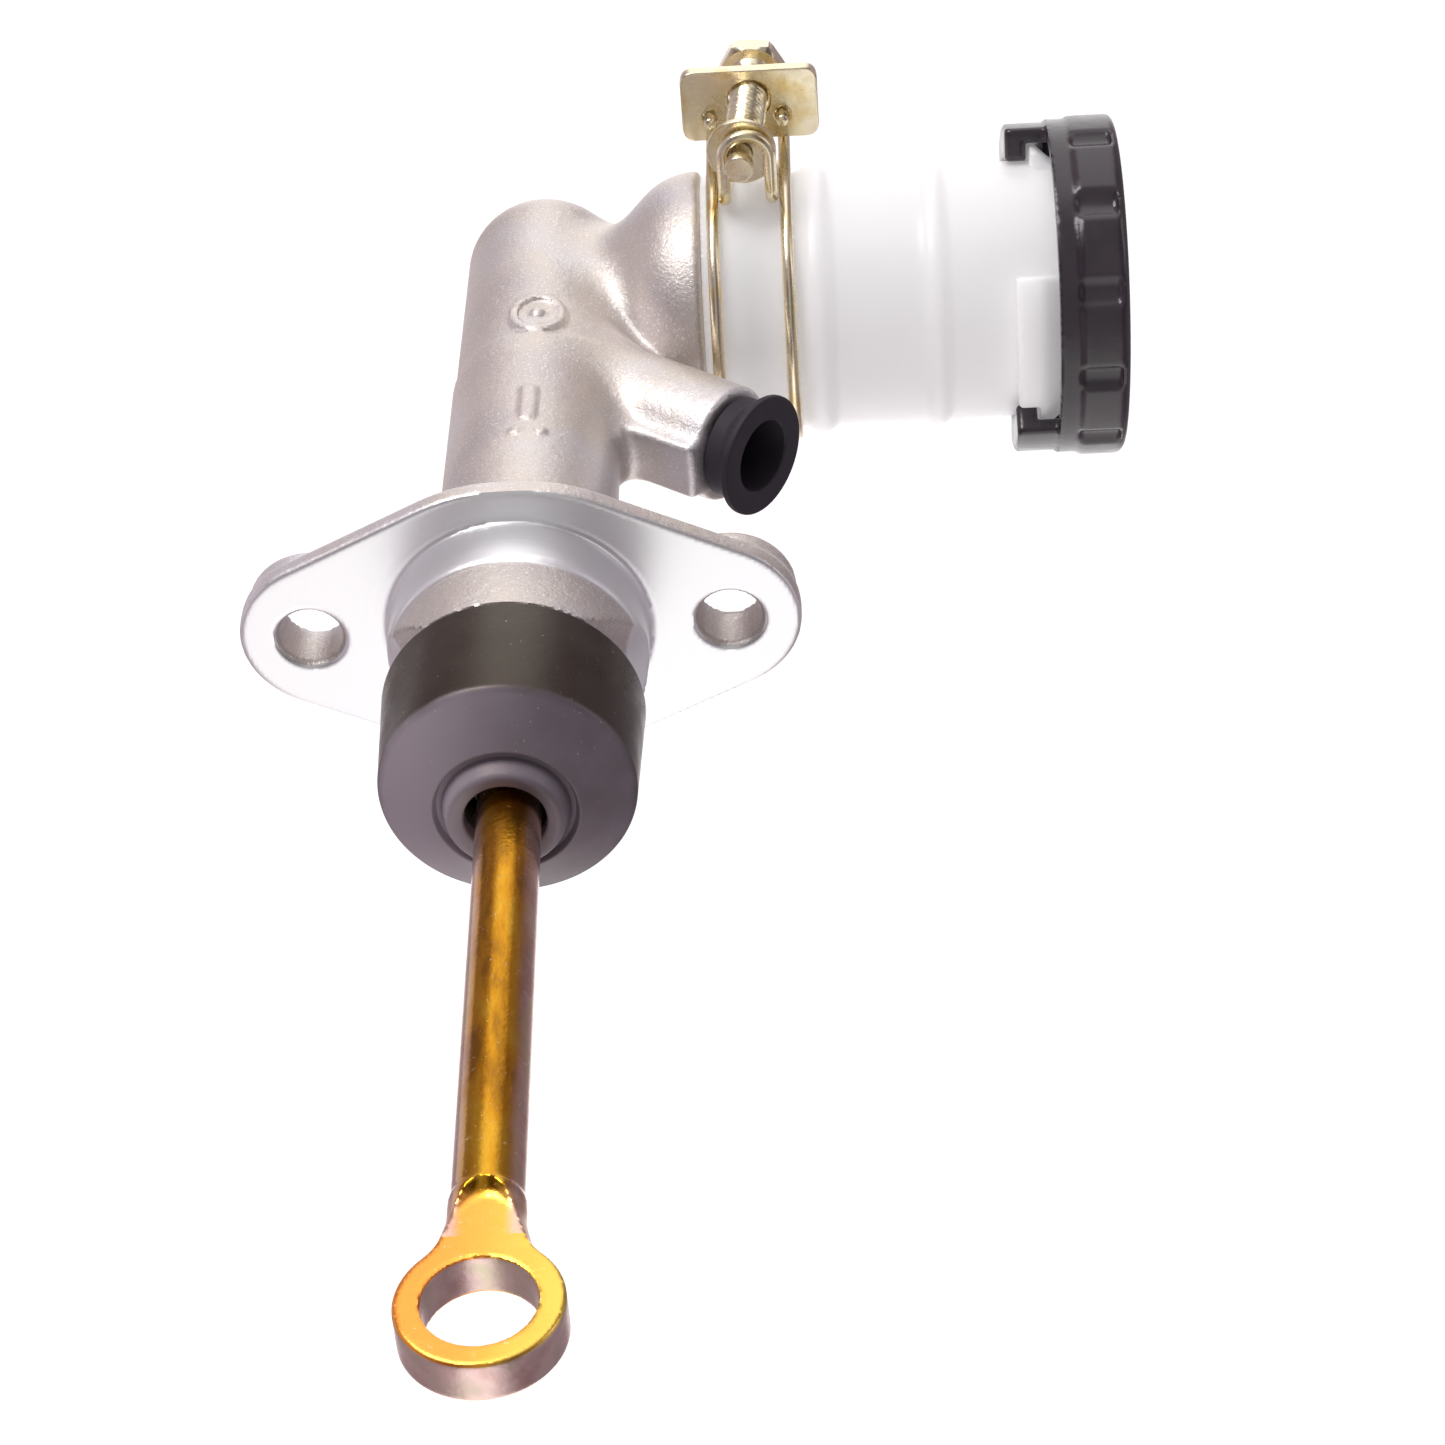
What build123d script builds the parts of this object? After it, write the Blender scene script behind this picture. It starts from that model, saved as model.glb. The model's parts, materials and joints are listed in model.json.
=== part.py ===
"""Brake master cylinder of the centre-valve type, with its own reservoir.

Millimetres, +Z up. The origin is the middle of the flange's mounting face, on the bore axis.
The bore runs along +Y into the body, the pushrod comes out towards -Y, the reservoir stands up +Z.
"""

import os
from math import cos, radians, sin

from build123d import *

os.makedirs("parts", exist_ok=True)

# ---- Driving dimensions ------------------------------------------------------------------------
BORE_R = 8.89  # a 0.70 inch bore
BORE_MOUTH_Y = -24.0
BORE_END_Y = 78.0
RUNNING_GAP = 0.05  # radial clearance of everything that slides in the bore

STUD_SPACING = 57.15  # 2.25 inch between the two mounting studs
STUD_HOLE_R = 4.35
FLANGE_END_R = 12.0
FLANGE_END_Z = 25.75  # centre of each rounded flange end
FLANGE_HALF_WIDTH = 22.3
FLANGE_FLAT = 14.0  # length of the straight stretch at the widest place
FLANGE_T = 3.5
FLANGE_CORNER_R = 4.0
FLANGE_EDGE_R = 1.2
STUD_PAD_R = 9.1
STUD_PAD_T = 8.0

REGISTER_R = 17.6
REGISTER_L = 8.4
COLLAR_R = 17.2
COLLAR_END_Y = -18.0
BOOT_LAND_R = 15.2
BOOT_GROOVE_R = 14.2
CIRCLIP_Y = -19.2
CIRCLIP_T = 1.2
CIRCLIP_GROOVE_R = 9.9

BARREL_R = 12.6
BARREL_TIP_R = 12.3
BARREL_STEP_Y = 57.0
BARREL_END_Y = 103.8
BARREL_END_ROUND = 9.0

TOWER_Y = 83.6  # reservoir axis
TOWER_R = 20.3
TOWER_TOP_Z = 25.0
SPIGOT_R = 17.2
SPIGOT_HOLE_R = 14.0
SPIGOT_TOP_Z = 41.0
SEAL_GROOVE_R = 15.4
SEAL_GROOVE_Z = 31.0
SEAL_GROOVE_WIDTH = 2.8
FEED_R = 2.5  # fluid passage from the reservoir to the valve

PORT_Y = 65.0  # where the outlet's axis crosses the bore's axis
PORT_LENGTH = 36.0
PORT_R = 8.6
PORT_THREAD_R = 5.98
PORT_DRILL_R = 2.5
PORT_DEPTH = 15.0
PORT_RIB_WIDTH = 8.8
PORT_RIB_REACH = 9.6

RESERVOIR_R = 19.4
RESERVOIR_WALL = 1.8
RESERVOIR_TOP_Z = 83.0
COLLAR_TOP_Z = 78.6  # top of the bayonet collar round the reservoir's neck
COLLAR_LOW_Z = 75.1
COLLAR_STOP_Z = 71.9
BAYONET_R = 22.2
STOP_START = -88.0  # degrees from the middle of a cap hook
STOP_SPAN = 59.0
LIP_START = -29.2
LIP_SPAN = 60.0
BEADS = ((42.2, 1.8, 1.2), (60.0, 1.3, 0.9))  # height, half width, how far it stands out

CAP_R = 25.9
CAP_BAND_R = 25.4
CAP_SKIRT_R = 23.3
CAP_LOW_Z = 77.8
CAP_TOP_Z = 88.1
CAP_ROOF_Z = 85.4
FLUTE_R = 3.2
FLUTE_DEPTH = 1.0
CAP_FLUTES = 12
CAP_FLUTE_FIRST = 2.0
LUG_ANGLES = (143.5, 323.5)
LUG_SPAN = 48.0
LUG_R = 25.0
LUG_INNER_R = 22.6
LUG_HOOK_R = 19.9
LUG_LOW_Z = 71.5
LUG_HOOK_TOP_Z = 74.7

WIRE_R = 0.95
WIRE_RING_R = 20.65
RING_Z = 32.6  # middle height between the clamp's two rings
WIRE_TAIL = 5.5  # half the distance between the two hooked wire ends
WIRE_LOOP = 3.5  # half the width of the loop round the screw's neck
HOOK_R = 2.65
HOOK_Y = 97.2
LOOP_Y = 77.0
LOOP_BEND_R = 2.6
PLATE_X = -27.75
PLATE_Z = 33.2
PLATE_Y = 97.0  # the plate's far face
PLATE_T = 2.0
PLATE_WIDTH = 11.8
PLATE_HEIGHT = 21.0
SCREW_X = -28.5
SCREW_LEAN = 4.0  # degrees, with the tip lower than the head
SCREW_R = 2.95
SCREW_NECK_R = 1.6
BUTTON_R = 2.1
SCREW_TIP_Y = 73.0
SCREW_HEAD_Y = 102.6
SCREW_HEAD_R = 5.6
SCREW_HEAD_T = 3.4
WASHER_R = 5.2
WASHER_T = 1.0
WASHER_Y = 78.5

PLUG_LIP_R = 9.0
PLUG_NECK_R = 7.5
PLUG_HOLE_R = 5.4
PLUG_TOP = 41.8  # the lip's face, measured along the outlet's axis

BOOT_R = 17.4
BOOT_SHOULDER_R = 16.6
BOOT_SHOULDER_Y = -35.3
BOOT_LIP_R = 8.9
BOOT_LIP_Y = -40.0
BOOT_HOLE_R = 5.6

ROD_R = 4.2
ROD_LEAN = 0.8  # degrees that the rod rests off the bore's axis, its eye towards +Z
BALL_R = 5.9
BALL_Y = -10.0
EYE_Y = -126.0
EYE_R = 9.4
EYE_HOLE_R = 6.4
EYE_T = 5.6
NECK_R = 5.5  # where the rod has been forged out towards the eye
NECK_L = 14.5
FLAT_L = 14.0  # how far the flats run from the eye's centre

PLUNGER_BACK_Y = -16.0
PLUNGER_FRONT_Y = 26.0
PLUNGER_BORE_R = 5.0
PLUNGER_BORE_END_Y = -1.0
PLUNGER_WAIST_R = 7.6
REAR_SEAL_Y = 1.0
FRONT_SEAL_Y = 18.0
CUP_SEAL_T = 4.0
SEAL_SEAT_R = 6.6
THIMBLE_T = 1.0
THIMBLE_R = 5.6
THIMBLE_END_Y = 32.0
STEM_HEAD_Y = 29.0
VALVE_HEAD_Y = 71.0
VALVE_LIFT = 0.8
VALVE_STEM_R = 1.8
SPRING_SEAT_Y = 68.0
SPRING_WIRE_R = 0.8
SPRING_COIL_R = 6.9
SPRING_TURNS = 6

# ---- Planes and axes ---------------------------------------------------------------------------
bore_section = Plane.XY  # local x is the radius, local y runs along the bore
tower_section = Plane(origin=(0, TOWER_Y, 0), x_dir=(1, 0, 0), z_dir=(0, -1, 0))
tower_axis = Axis((0, TOWER_Y, 0), (0, 0, 1))
port_direction = Vector(0, -0.6, 0.8)
port_section = Plane(origin=(0, PORT_Y, 0), x_dir=(1, 0, 0), z_dir=(0, -0.8, -0.6))
port_axis = Axis((0, PORT_Y, 0), port_direction)


def across_bore(y):
    """The plane across the bore at y, looking out of the mouth, with local x = X and local y = Z."""
    return Plane(origin=(0, y, 0), x_dir=(1, 0, 0), z_dir=(0, -1, 0))


def tower_section_at(angle):
    """The upright plane through the reservoir's axis at that angle from +X, local x outwards."""
    out = Vector(cos(radians(angle)), sin(radians(angle)), 0)
    return Plane(origin=(0, TOWER_Y, 0), x_dir=out, z_dir=(out.Y, -out.X, 0))


def nearest(shapes, *points):
    """The shape nearest to each of the points, taken from the vertices or edges given."""
    return ShapeList(shapes.sort_by_distance(point)[0] for point in points)


def save(part, name):
    """Labels a finished piece and writes it to its own file."""
    part.label = name
    export_step(part, f"parts/{name}.step")


# ---- Cylinder body: one casting, machined ------------------------------------------------------
with BuildPart() as cylinder_body:
    # Two-stud flange: rounded ends, straight sides and a short flat at the widest place.
    with BuildSketch(across_bore(0)) as flange:
        with Locations((0, FLANGE_END_Z), (0, -FLANGE_END_Z)):
            Circle(FLANGE_END_R)
        Rectangle(2 * FLANGE_HALF_WIDTH, FLANGE_FLAT)
        make_hull()
        corners = [(x * FLANGE_HALF_WIDTH, z * FLANGE_FLAT / 2) for x in (-1, 1) for z in (-1, 1)]
        fillet(nearest(flange.vertices(), *corners), FLANGE_CORNER_R)
    extrude(amount=-FLANGE_T)
    fillet(cylinder_body.faces().sort_by(Axis.Y)[-1].edges(), FLANGE_EDGE_R)
    with BuildSketch(across_bore(0)):
        with Locations((0, STUD_SPACING / 2), (0, -STUD_SPACING / 2)):
            Circle(STUD_PAD_R)
    extrude(amount=-STUD_PAD_T)

    # Barrel, with a cast radius at the flange and a rounded closed end.
    with BuildSketch(bore_section) as barrel:
        Polygon(
            (0, 0),
            (BARREL_R + 4, 0),
            (BARREL_R + 4, FLANGE_T),
            (BARREL_R, FLANGE_T),
            (BARREL_R, BARREL_STEP_Y),
            (BARREL_TIP_R, BARREL_STEP_Y + 1),
            (BARREL_TIP_R, BARREL_END_Y),
            (0, BARREL_END_Y),
            align=None,
        )
        fillet(nearest(barrel.vertices(), (BARREL_R, FLANGE_T)), 3)
        fillet(nearest(barrel.vertices(), (BARREL_TIP_R, BARREL_END_Y)), BARREL_END_ROUND)
    revolve(axis=Axis.Y)

    # Tower that carries the reservoir: a 45 degree cone, a rim and a spigot with a seal groove.
    with BuildSketch(tower_section) as tower:
        Polygon(
            (0, 6.5),
            (7.1, 6.5),
            (TOWER_R - 1.2, 18.6),
            (TOWER_R, 20.4),
            (TOWER_R, TOWER_TOP_Z),
            (0, TOWER_TOP_Z),
            align=None,
        )
        fillet(nearest(tower.vertices(), (TOWER_R - 1.2, 18.6)), 2)
        fillet(nearest(tower.vertices(), (TOWER_R, TOWER_TOP_Z)), 1)
    revolve(axis=tower_axis)

    # Outlet boss, leaning back over the flange, with a flat rib along its flange side.
    with BuildSketch(port_section):
        Polygon((0, 4), (PORT_R + 0.3, 4), (PORT_R, PORT_LENGTH), (0, PORT_LENGTH), align=None)
    revolve(axis=port_axis)
    with BuildSketch(port_section):
        Polygon(
            (-PORT_RIB_WIDTH / 2, 4),
            (PORT_RIB_WIDTH / 2, 4),
            (PORT_RIB_WIDTH / 2, PORT_LENGTH),
            (-PORT_RIB_WIDTH / 2, PORT_LENGTH),
            align=None,
        )
    extrude(amount=PORT_RIB_REACH)

    # Collar through the panel: bright register, rougher collar and the land that the boot grips.
    with BuildSketch(bore_section) as collar:
        Polygon(
            (0, 0.5),
            (REGISTER_R + 0.9, 0.5),
            (REGISTER_R + 0.9, 0),
            (REGISTER_R, -0.9),
            (REGISTER_R, -REGISTER_L),
            (COLLAR_R, -REGISTER_L - 0.4),
            (COLLAR_R, COLLAR_END_Y),
            (BOOT_LAND_R, COLLAR_END_Y),
            (BOOT_LAND_R, COLLAR_END_Y - 0.4),
            (BOOT_GROOVE_R, COLLAR_END_Y - 0.4),
            (BOOT_GROOVE_R, COLLAR_END_Y - 2.8),
            (BOOT_LAND_R, COLLAR_END_Y - 2.8),
            (BOOT_LAND_R, BORE_MOUTH_Y + 0.8),
            (BOOT_LAND_R - 0.8, BORE_MOUTH_Y),
            (0, BORE_MOUTH_Y),
            align=None,
        )
        fillet(nearest(collar.vertices(), (REGISTER_R, -0.9)), 0.8)
    revolve(axis=Axis.Y)
    with BuildSketch(tower_section):
        Polygon(
            (0, TOWER_TOP_Z - 1),
            (SPIGOT_R, TOWER_TOP_Z - 1),
            (SPIGOT_R, SEAL_GROOVE_Z),
            (SEAL_GROOVE_R, SEAL_GROOVE_Z),
            (SEAL_GROOVE_R, SEAL_GROOVE_Z + SEAL_GROOVE_WIDTH),
            (SPIGOT_R, SEAL_GROOVE_Z + SEAL_GROOVE_WIDTH),
            (SPIGOT_R, SPIGOT_TOP_Z - 1),
            (SPIGOT_R - 1, SPIGOT_TOP_Z),
            (0, SPIGOT_TOP_Z),
            align=None,
        )
    revolve(axis=tower_axis)

    with BuildSketch(across_bore(0)):
        with Locations((0, STUD_SPACING / 2), (0, -STUD_SPACING / 2)):
            Circle(STUD_HOLE_R)
    extrude(amount=-STUD_PAD_T, mode=Mode.SUBTRACT)

    # Bore with its circlip groove, the valve's feed hole, and the drilling for the outlet.
    with BuildSketch(bore_section):
        Polygon(
            (0, BORE_MOUTH_Y - 1),
            (BORE_R + 2, BORE_MOUTH_Y - 1),
            (BORE_R, BORE_MOUTH_Y + 1),
            (BORE_R, CIRCLIP_Y),
            (CIRCLIP_GROOVE_R, CIRCLIP_Y),
            (CIRCLIP_GROOVE_R, CIRCLIP_Y + CIRCLIP_T + 0.1),
            (BORE_R, CIRCLIP_Y + CIRCLIP_T + 0.1),
            (BORE_R, BORE_END_Y),
            (FEED_R, BORE_END_Y),
            (FEED_R, TOWER_Y + FEED_R),
            (0, TOWER_Y + FEED_R),
            align=None,
        )
    revolve(axis=Axis.Y, mode=Mode.SUBTRACT)
    with BuildSketch(tower_section):
        Polygon(
            (0, 0),
            (FEED_R, 0),
            (FEED_R, 20),
            (SPIGOT_HOLE_R, 24),
            (SPIGOT_HOLE_R, SPIGOT_TOP_Z + 1),
            (0, SPIGOT_TOP_Z + 1),
            align=None,
        )
    revolve(axis=tower_axis, mode=Mode.SUBTRACT)
    with BuildSketch(port_section):
        Polygon(
            (0, 0),
            (PORT_DRILL_R, 0),
            (PORT_DRILL_R, PORT_LENGTH - PORT_DEPTH - 3),
            (PORT_THREAD_R, PORT_LENGTH - PORT_DEPTH),
            (PORT_THREAD_R, PORT_LENGTH - 0.8),
            (PORT_THREAD_R + 1.8, PORT_LENGTH + 1),
            (0, PORT_LENGTH + 1),
            align=None,
        )
    revolve(axis=port_axis, mode=Mode.SUBTRACT)
save(cylinder_body.part, "cylinder_body")

# ---- Inside the bore ---------------------------------------------------------------------------
with BuildPart() as circlip:
    with BuildSketch(across_bore(CIRCLIP_Y + CIRCLIP_T)):
        Circle(CIRCLIP_GROOVE_R - 0.1)
        Circle(CIRCLIP_GROOVE_R - 1.9, mode=Mode.SUBTRACT)
        with Locations((0, -CIRCLIP_GROOVE_R)):
            Rectangle(4.4, 8, mode=Mode.SUBTRACT)
        with Locations((3.4, -7.0), (-3.4, -7.0)):
            Circle(1.5)
            Circle(0.6, mode=Mode.SUBTRACT)
    extrude(amount=CIRCLIP_T)
save(circlip.part, "circlip")

with BuildPart() as stop_washer:
    with BuildSketch(bore_section):
        washer_back = CIRCLIP_Y + CIRCLIP_T + 0.05
        Polygon(
            (5.2, washer_back),
            (BORE_R - RUNNING_GAP, washer_back),
            (BORE_R - RUNNING_GAP, washer_back + 1.5),
            (5.2, washer_back + 1.5),
            align=None,
        )
    revolve(axis=Axis.Y)
save(stop_washer.part, "stop_washer")

with BuildPart() as plunger:
    with BuildSketch(bore_section) as plunger_profile:
        Polygon(
            (0, PLUNGER_BACK_Y),
            (BORE_R - RUNNING_GAP, PLUNGER_BACK_Y),
            (BORE_R - RUNNING_GAP, REAR_SEAL_Y),
            (SEAL_SEAT_R, REAR_SEAL_Y),
            (SEAL_SEAT_R, REAR_SEAL_Y + CUP_SEAL_T),
            (BORE_R - RUNNING_GAP, REAR_SEAL_Y + CUP_SEAL_T),
            (BORE_R - RUNNING_GAP, REAR_SEAL_Y + CUP_SEAL_T + 2),
            (PLUNGER_WAIST_R, REAR_SEAL_Y + CUP_SEAL_T + 3),
            (PLUNGER_WAIST_R, FRONT_SEAL_Y - 3),
            (BORE_R - RUNNING_GAP, FRONT_SEAL_Y - 2),
            (BORE_R - RUNNING_GAP, FRONT_SEAL_Y),
            (SEAL_SEAT_R, FRONT_SEAL_Y),
            (SEAL_SEAT_R, FRONT_SEAL_Y + CUP_SEAL_T),
            (PLUNGER_WAIST_R, FRONT_SEAL_Y + CUP_SEAL_T),
            (PLUNGER_WAIST_R, PLUNGER_FRONT_Y),
            (PLUNGER_BORE_R, PLUNGER_FRONT_Y),
            (PLUNGER_BORE_R, PLUNGER_BORE_END_Y),
            (0, PLUNGER_BORE_END_Y),
            align=None,
        )
    revolve(axis=Axis.Y)
    # Socket for the pushrod's ball, open to the back.
    with BuildSketch(bore_section):
        with Locations((0, BALL_Y)):
            Circle(BALL_R + RUNNING_GAP)
        with Locations((-BORE_R, BALL_Y)):
            Rectangle(2 * BORE_R, 2 * BORE_R, mode=Mode.SUBTRACT)
        Polygon(
            (0, PLUNGER_BACK_Y - 1),
            (BALL_R + RUNNING_GAP, PLUNGER_BACK_Y - 1),
            (BALL_R + RUNNING_GAP, BALL_Y),
            (0, BALL_Y),
            align=None,
        )
    revolve(axis=Axis.Y, mode=Mode.SUBTRACT)
save(plunger.part, "plunger")


def cup_seal(part_name, back_y):
    """A lipped ring seal that sits in a plunger groove starting at back_y, lip towards the fluid."""
    with BuildPart() as seal:
        with BuildSketch(bore_section):
            Polygon(
                (SEAL_SEAT_R, back_y + 0.05),
                (BORE_R - 0.15, back_y + 0.05),
                (BORE_R - 0.02, back_y + CUP_SEAL_T - 0.3),
                (BORE_R - 0.6, back_y + CUP_SEAL_T - 0.1),
                (7.6, back_y + 2),
                (7.3, back_y + 2),
                (SEAL_SEAT_R + 0.3, back_y + CUP_SEAL_T - 0.3),
                (SEAL_SEAT_R, back_y + CUP_SEAL_T - 0.3),
                align=None,
            )
        revolve(axis=Axis.Y)
    save(seal.part, part_name)


cup_seal("plunger_rear_seal", REAR_SEAL_Y)
cup_seal("plunger_front_seal", FRONT_SEAL_Y)

with BuildPart() as spring_thimble:
    with BuildSketch(bore_section):
        Polygon(
            (PLUNGER_BORE_R - 0.2, PLUNGER_FRONT_Y),
            (8.0, PLUNGER_FRONT_Y),
            (8.0, PLUNGER_FRONT_Y + THIMBLE_T),
            (THIMBLE_R, PLUNGER_FRONT_Y + THIMBLE_T),
            (THIMBLE_R, THIMBLE_END_Y),
            (VALVE_STEM_R + 0.3, THIMBLE_END_Y),
            (VALVE_STEM_R + 0.3, THIMBLE_END_Y - THIMBLE_T),
            (PLUNGER_BORE_R - 0.2, THIMBLE_END_Y - THIMBLE_T),
            align=None,
        )
    revolve(axis=Axis.Y)
save(spring_thimble.part, "spring_thimble")

with BuildPart() as return_spring:
    spring_back = PLUNGER_FRONT_Y + THIMBLE_T + SPRING_WIRE_R + 0.05
    spring_length = SPRING_SEAT_Y - 0.05 - SPRING_WIRE_R - spring_back
    with BuildLine() as coil:
        Helix(
            pitch=spring_length / SPRING_TURNS,
            height=spring_length,
            radius=SPRING_COIL_R,
            center=(0, spring_back, 0),
            direction=(0, 1, 0),
        )
    with BuildSketch(Plane(origin=coil.line @ 0, z_dir=coil.line % 0)):
        Circle(SPRING_WIRE_R)
    sweep(path=coil.line)
save(return_spring.part, "return_spring")

with BuildPart() as valve_stem:
    with BuildSketch(bore_section):
        Polygon(
            (0, STEM_HEAD_Y),
            (3.8, STEM_HEAD_Y),
            (3.8, THIMBLE_END_Y - THIMBLE_T - 0.1),
            (VALVE_STEM_R, THIMBLE_END_Y - THIMBLE_T - 0.1),
            (VALVE_STEM_R, VALVE_HEAD_Y),
            (5.4, VALVE_HEAD_Y),
            (5.4, VALVE_HEAD_Y + 1.6),
            (2.4, VALVE_HEAD_Y + 1.6),
            (2.4, VALVE_HEAD_Y + 3.4),
            (0, VALVE_HEAD_Y + 3.4),
            align=None,
        )
    revolve(axis=Axis.Y)
save(valve_stem.part, "valve_stem")

with BuildPart() as valve_seal:
    with BuildSketch(bore_section):
        Polygon(
            (2.45, VALVE_HEAD_Y + 1.65),
            (5.2, VALVE_HEAD_Y + 1.65),
            (4.8, BORE_END_Y - VALVE_LIFT - 0.4),
            (4.0, BORE_END_Y - VALVE_LIFT - 0.4),
            (3.8, VALVE_HEAD_Y + 3.0),
            (2.45, VALVE_HEAD_Y + 3.0),
            align=None,
        )
    revolve(axis=Axis.Y)
save(valve_seal.part, "valve_seal")

with BuildPart() as valve_wave_washer:
    with BuildSketch(bore_section):
        Polygon(
            (2.9, SPRING_SEAT_Y + 1.6),
            (5.3, SPRING_SEAT_Y + 1.6),
            (5.3, SPRING_SEAT_Y + 2.2),
            (2.9, SPRING_SEAT_Y + 2.2),
            align=None,
        )
    revolve(axis=Axis.Y)
save(valve_wave_washer.part, "valve_wave_washer")

with BuildPart() as valve_spacer:
    with BuildSketch(bore_section):
        Polygon(
            (VALVE_STEM_R + 0.3, SPRING_SEAT_Y),
            (8.6, SPRING_SEAT_Y),
            (8.6, BORE_END_Y - 0.05),
            (6.4, BORE_END_Y - 0.05),
            (6.4, SPRING_SEAT_Y + 1.5),
            (VALVE_STEM_R + 0.3, SPRING_SEAT_Y + 1.5),
            align=None,
        )
    revolve(axis=Axis.Y)
    # Slots that let fluid past the valve.
    for turn in range(3):
        with BuildSketch(Plane.XZ.offset(-(BORE_END_Y - 3)).rotated((0, 60 * turn, 0))):
            Rectangle(20, 2.4)
        extrude(amount=-4, mode=Mode.SUBTRACT)
save(valve_spacer.part, "valve_spacer")

# ---- Pushrod with its ball and eye -------------------------------------------------------------
with BuildPart() as pushrod:
    with BuildSketch(bore_section):
        Polygon((0, EYE_Y), (ROD_R, EYE_Y), (ROD_R, BALL_Y), (0, BALL_Y), align=None)
    revolve(axis=Axis.Y)
    # The rod is forged wider and flat towards the eye.
    with BuildSketch(bore_section):
        Polygon(
            (0, EYE_Y + 2),
            (NECK_R, EYE_Y + 2),
            (NECK_R, EYE_Y + EYE_R - 0.4),
            (ROD_R, EYE_Y + NECK_L),
            (0, EYE_Y + NECK_L),
            align=None,
        )
    revolve(axis=Axis.Y)
    for side in (-1, 1):
        with BuildSketch(Plane.XY) as flat:
            Polygon(
                (side * EYE_T / 2, EYE_Y - EYE_R),
                (side * 10, EYE_Y - EYE_R),
                (side * 10, EYE_Y + FLAT_L + 5),
                (side * EYE_T / 2, EYE_Y + FLAT_L),
                align=None,
            )
            fillet(nearest(flat.vertices(), (side * EYE_T / 2, EYE_Y + FLAT_L)), 3)
        extrude(amount=12, both=True, mode=Mode.SUBTRACT)
    with BuildSketch(Plane.YZ):
        with Locations((EYE_Y, 0)):
            Circle(EYE_R)
    extrude(amount=EYE_T / 2, both=True)
    eye_rims = [
        edge
        for edge in pushrod.edges().filter_by(GeomType.CIRCLE)
        if abs(edge.radius - EYE_R) < 0.01
    ]
    chamfer(eye_rims, 0.5)
    with BuildSketch(Plane.YZ):
        with Locations((EYE_Y, 0)):
            Circle(EYE_HOLE_R)
    extrude(amount=EYE_T, both=True, mode=Mode.SUBTRACT)
    with Locations((0, BALL_Y, 0)):
        Sphere(BALL_R)
save(pushrod.part.rotate(Axis((0, BALL_Y, 0), (1, 0, 0)), -ROD_LEAN), "pushrod")

# ---- Rubber boot over the collar ---------------------------------------------------------------
with BuildPart() as dust_boot:
    with BuildSketch(bore_section) as boot:
        Polygon(
            (BOOT_LAND_R + 0.05, COLLAR_END_Y - 0.05),
            (BOOT_R, COLLAR_END_Y - 0.05),
            (BOOT_SHOULDER_R, BOOT_SHOULDER_Y),
            (BOOT_LIP_R, BOOT_LIP_Y),
            (BOOT_LIP_R - 1.5, BOOT_LIP_Y - 1.6),
            (BOOT_HOLE_R, BOOT_LIP_Y - 1.6),
            (BOOT_HOLE_R, BOOT_LIP_Y + 1.4),
            (BOOT_SHOULDER_R - 2, BOOT_SHOULDER_Y + 1.6),
            (BOOT_LAND_R, BORE_MOUTH_Y - 0.1),
            (BOOT_LAND_R + 0.05, BORE_MOUTH_Y - 0.1),
            (BOOT_LAND_R + 0.05, COLLAR_END_Y - 2.75),
            (BOOT_GROOVE_R + 0.05, COLLAR_END_Y - 2.75),
            (BOOT_GROOVE_R + 0.05, COLLAR_END_Y - 0.45),
            (BOOT_LAND_R + 0.05, COLLAR_END_Y - 0.45),
            align=None,
        )
        fillet(nearest(boot.vertices(), (BOOT_SHOULDER_R, BOOT_SHOULDER_Y)), 1.5)
    revolve(axis=Axis.Y)
save(dust_boot.part, "dust_boot")

# ---- Outlet plug: a rubber bung with a flared lip and a blind hole ------------------------------
with BuildPart() as outlet_plug:
    with BuildSketch(port_section) as plug:
        Polygon(
            (0, PORT_LENGTH - 11),
            (PORT_THREAD_R - 0.4, PORT_LENGTH - 11),
            (PORT_THREAD_R - 0.08, PORT_LENGTH - 9),
            (PORT_THREAD_R - 0.08, PORT_LENGTH + 0.35),
            (PLUG_NECK_R, PORT_LENGTH + 0.35),
            (PLUG_NECK_R, PLUG_TOP - 2.6),
            (PLUG_LIP_R, PLUG_TOP - 1.4),
            (PLUG_LIP_R, PLUG_TOP),
            (PLUG_HOLE_R, PLUG_TOP),
            (PLUG_HOLE_R - 0.8, PORT_LENGTH - 8),
            (0, PORT_LENGTH - 8),
            align=None,
        )
        fillet(nearest(plug.vertices(), (PLUG_NECK_R, PLUG_TOP - 2.6)), 1.5)
        fillet(nearest(plug.vertices(), (PLUG_LIP_R, PLUG_TOP - 1.4)), 0.5)
    revolve(axis=port_axis)
save(outlet_plug.part, "outlet_plug")

# ---- Reservoir, its seal, and the bayonet cap ---------------------------------------------------
with BuildPart() as reservoir_seal:
    neck_r = RESERVOIR_R - RESERVOIR_WALL
    with BuildSketch(tower_section):
        with Locations(((SEAL_GROOVE_R + neck_r) / 2, SEAL_GROOVE_Z + SEAL_GROOVE_WIDTH / 2)):
            Circle((neck_r - SEAL_GROOVE_R) / 2 - 0.03)
    revolve(axis=tower_axis)
save(reservoir_seal.part, "reservoir_seal")

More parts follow.
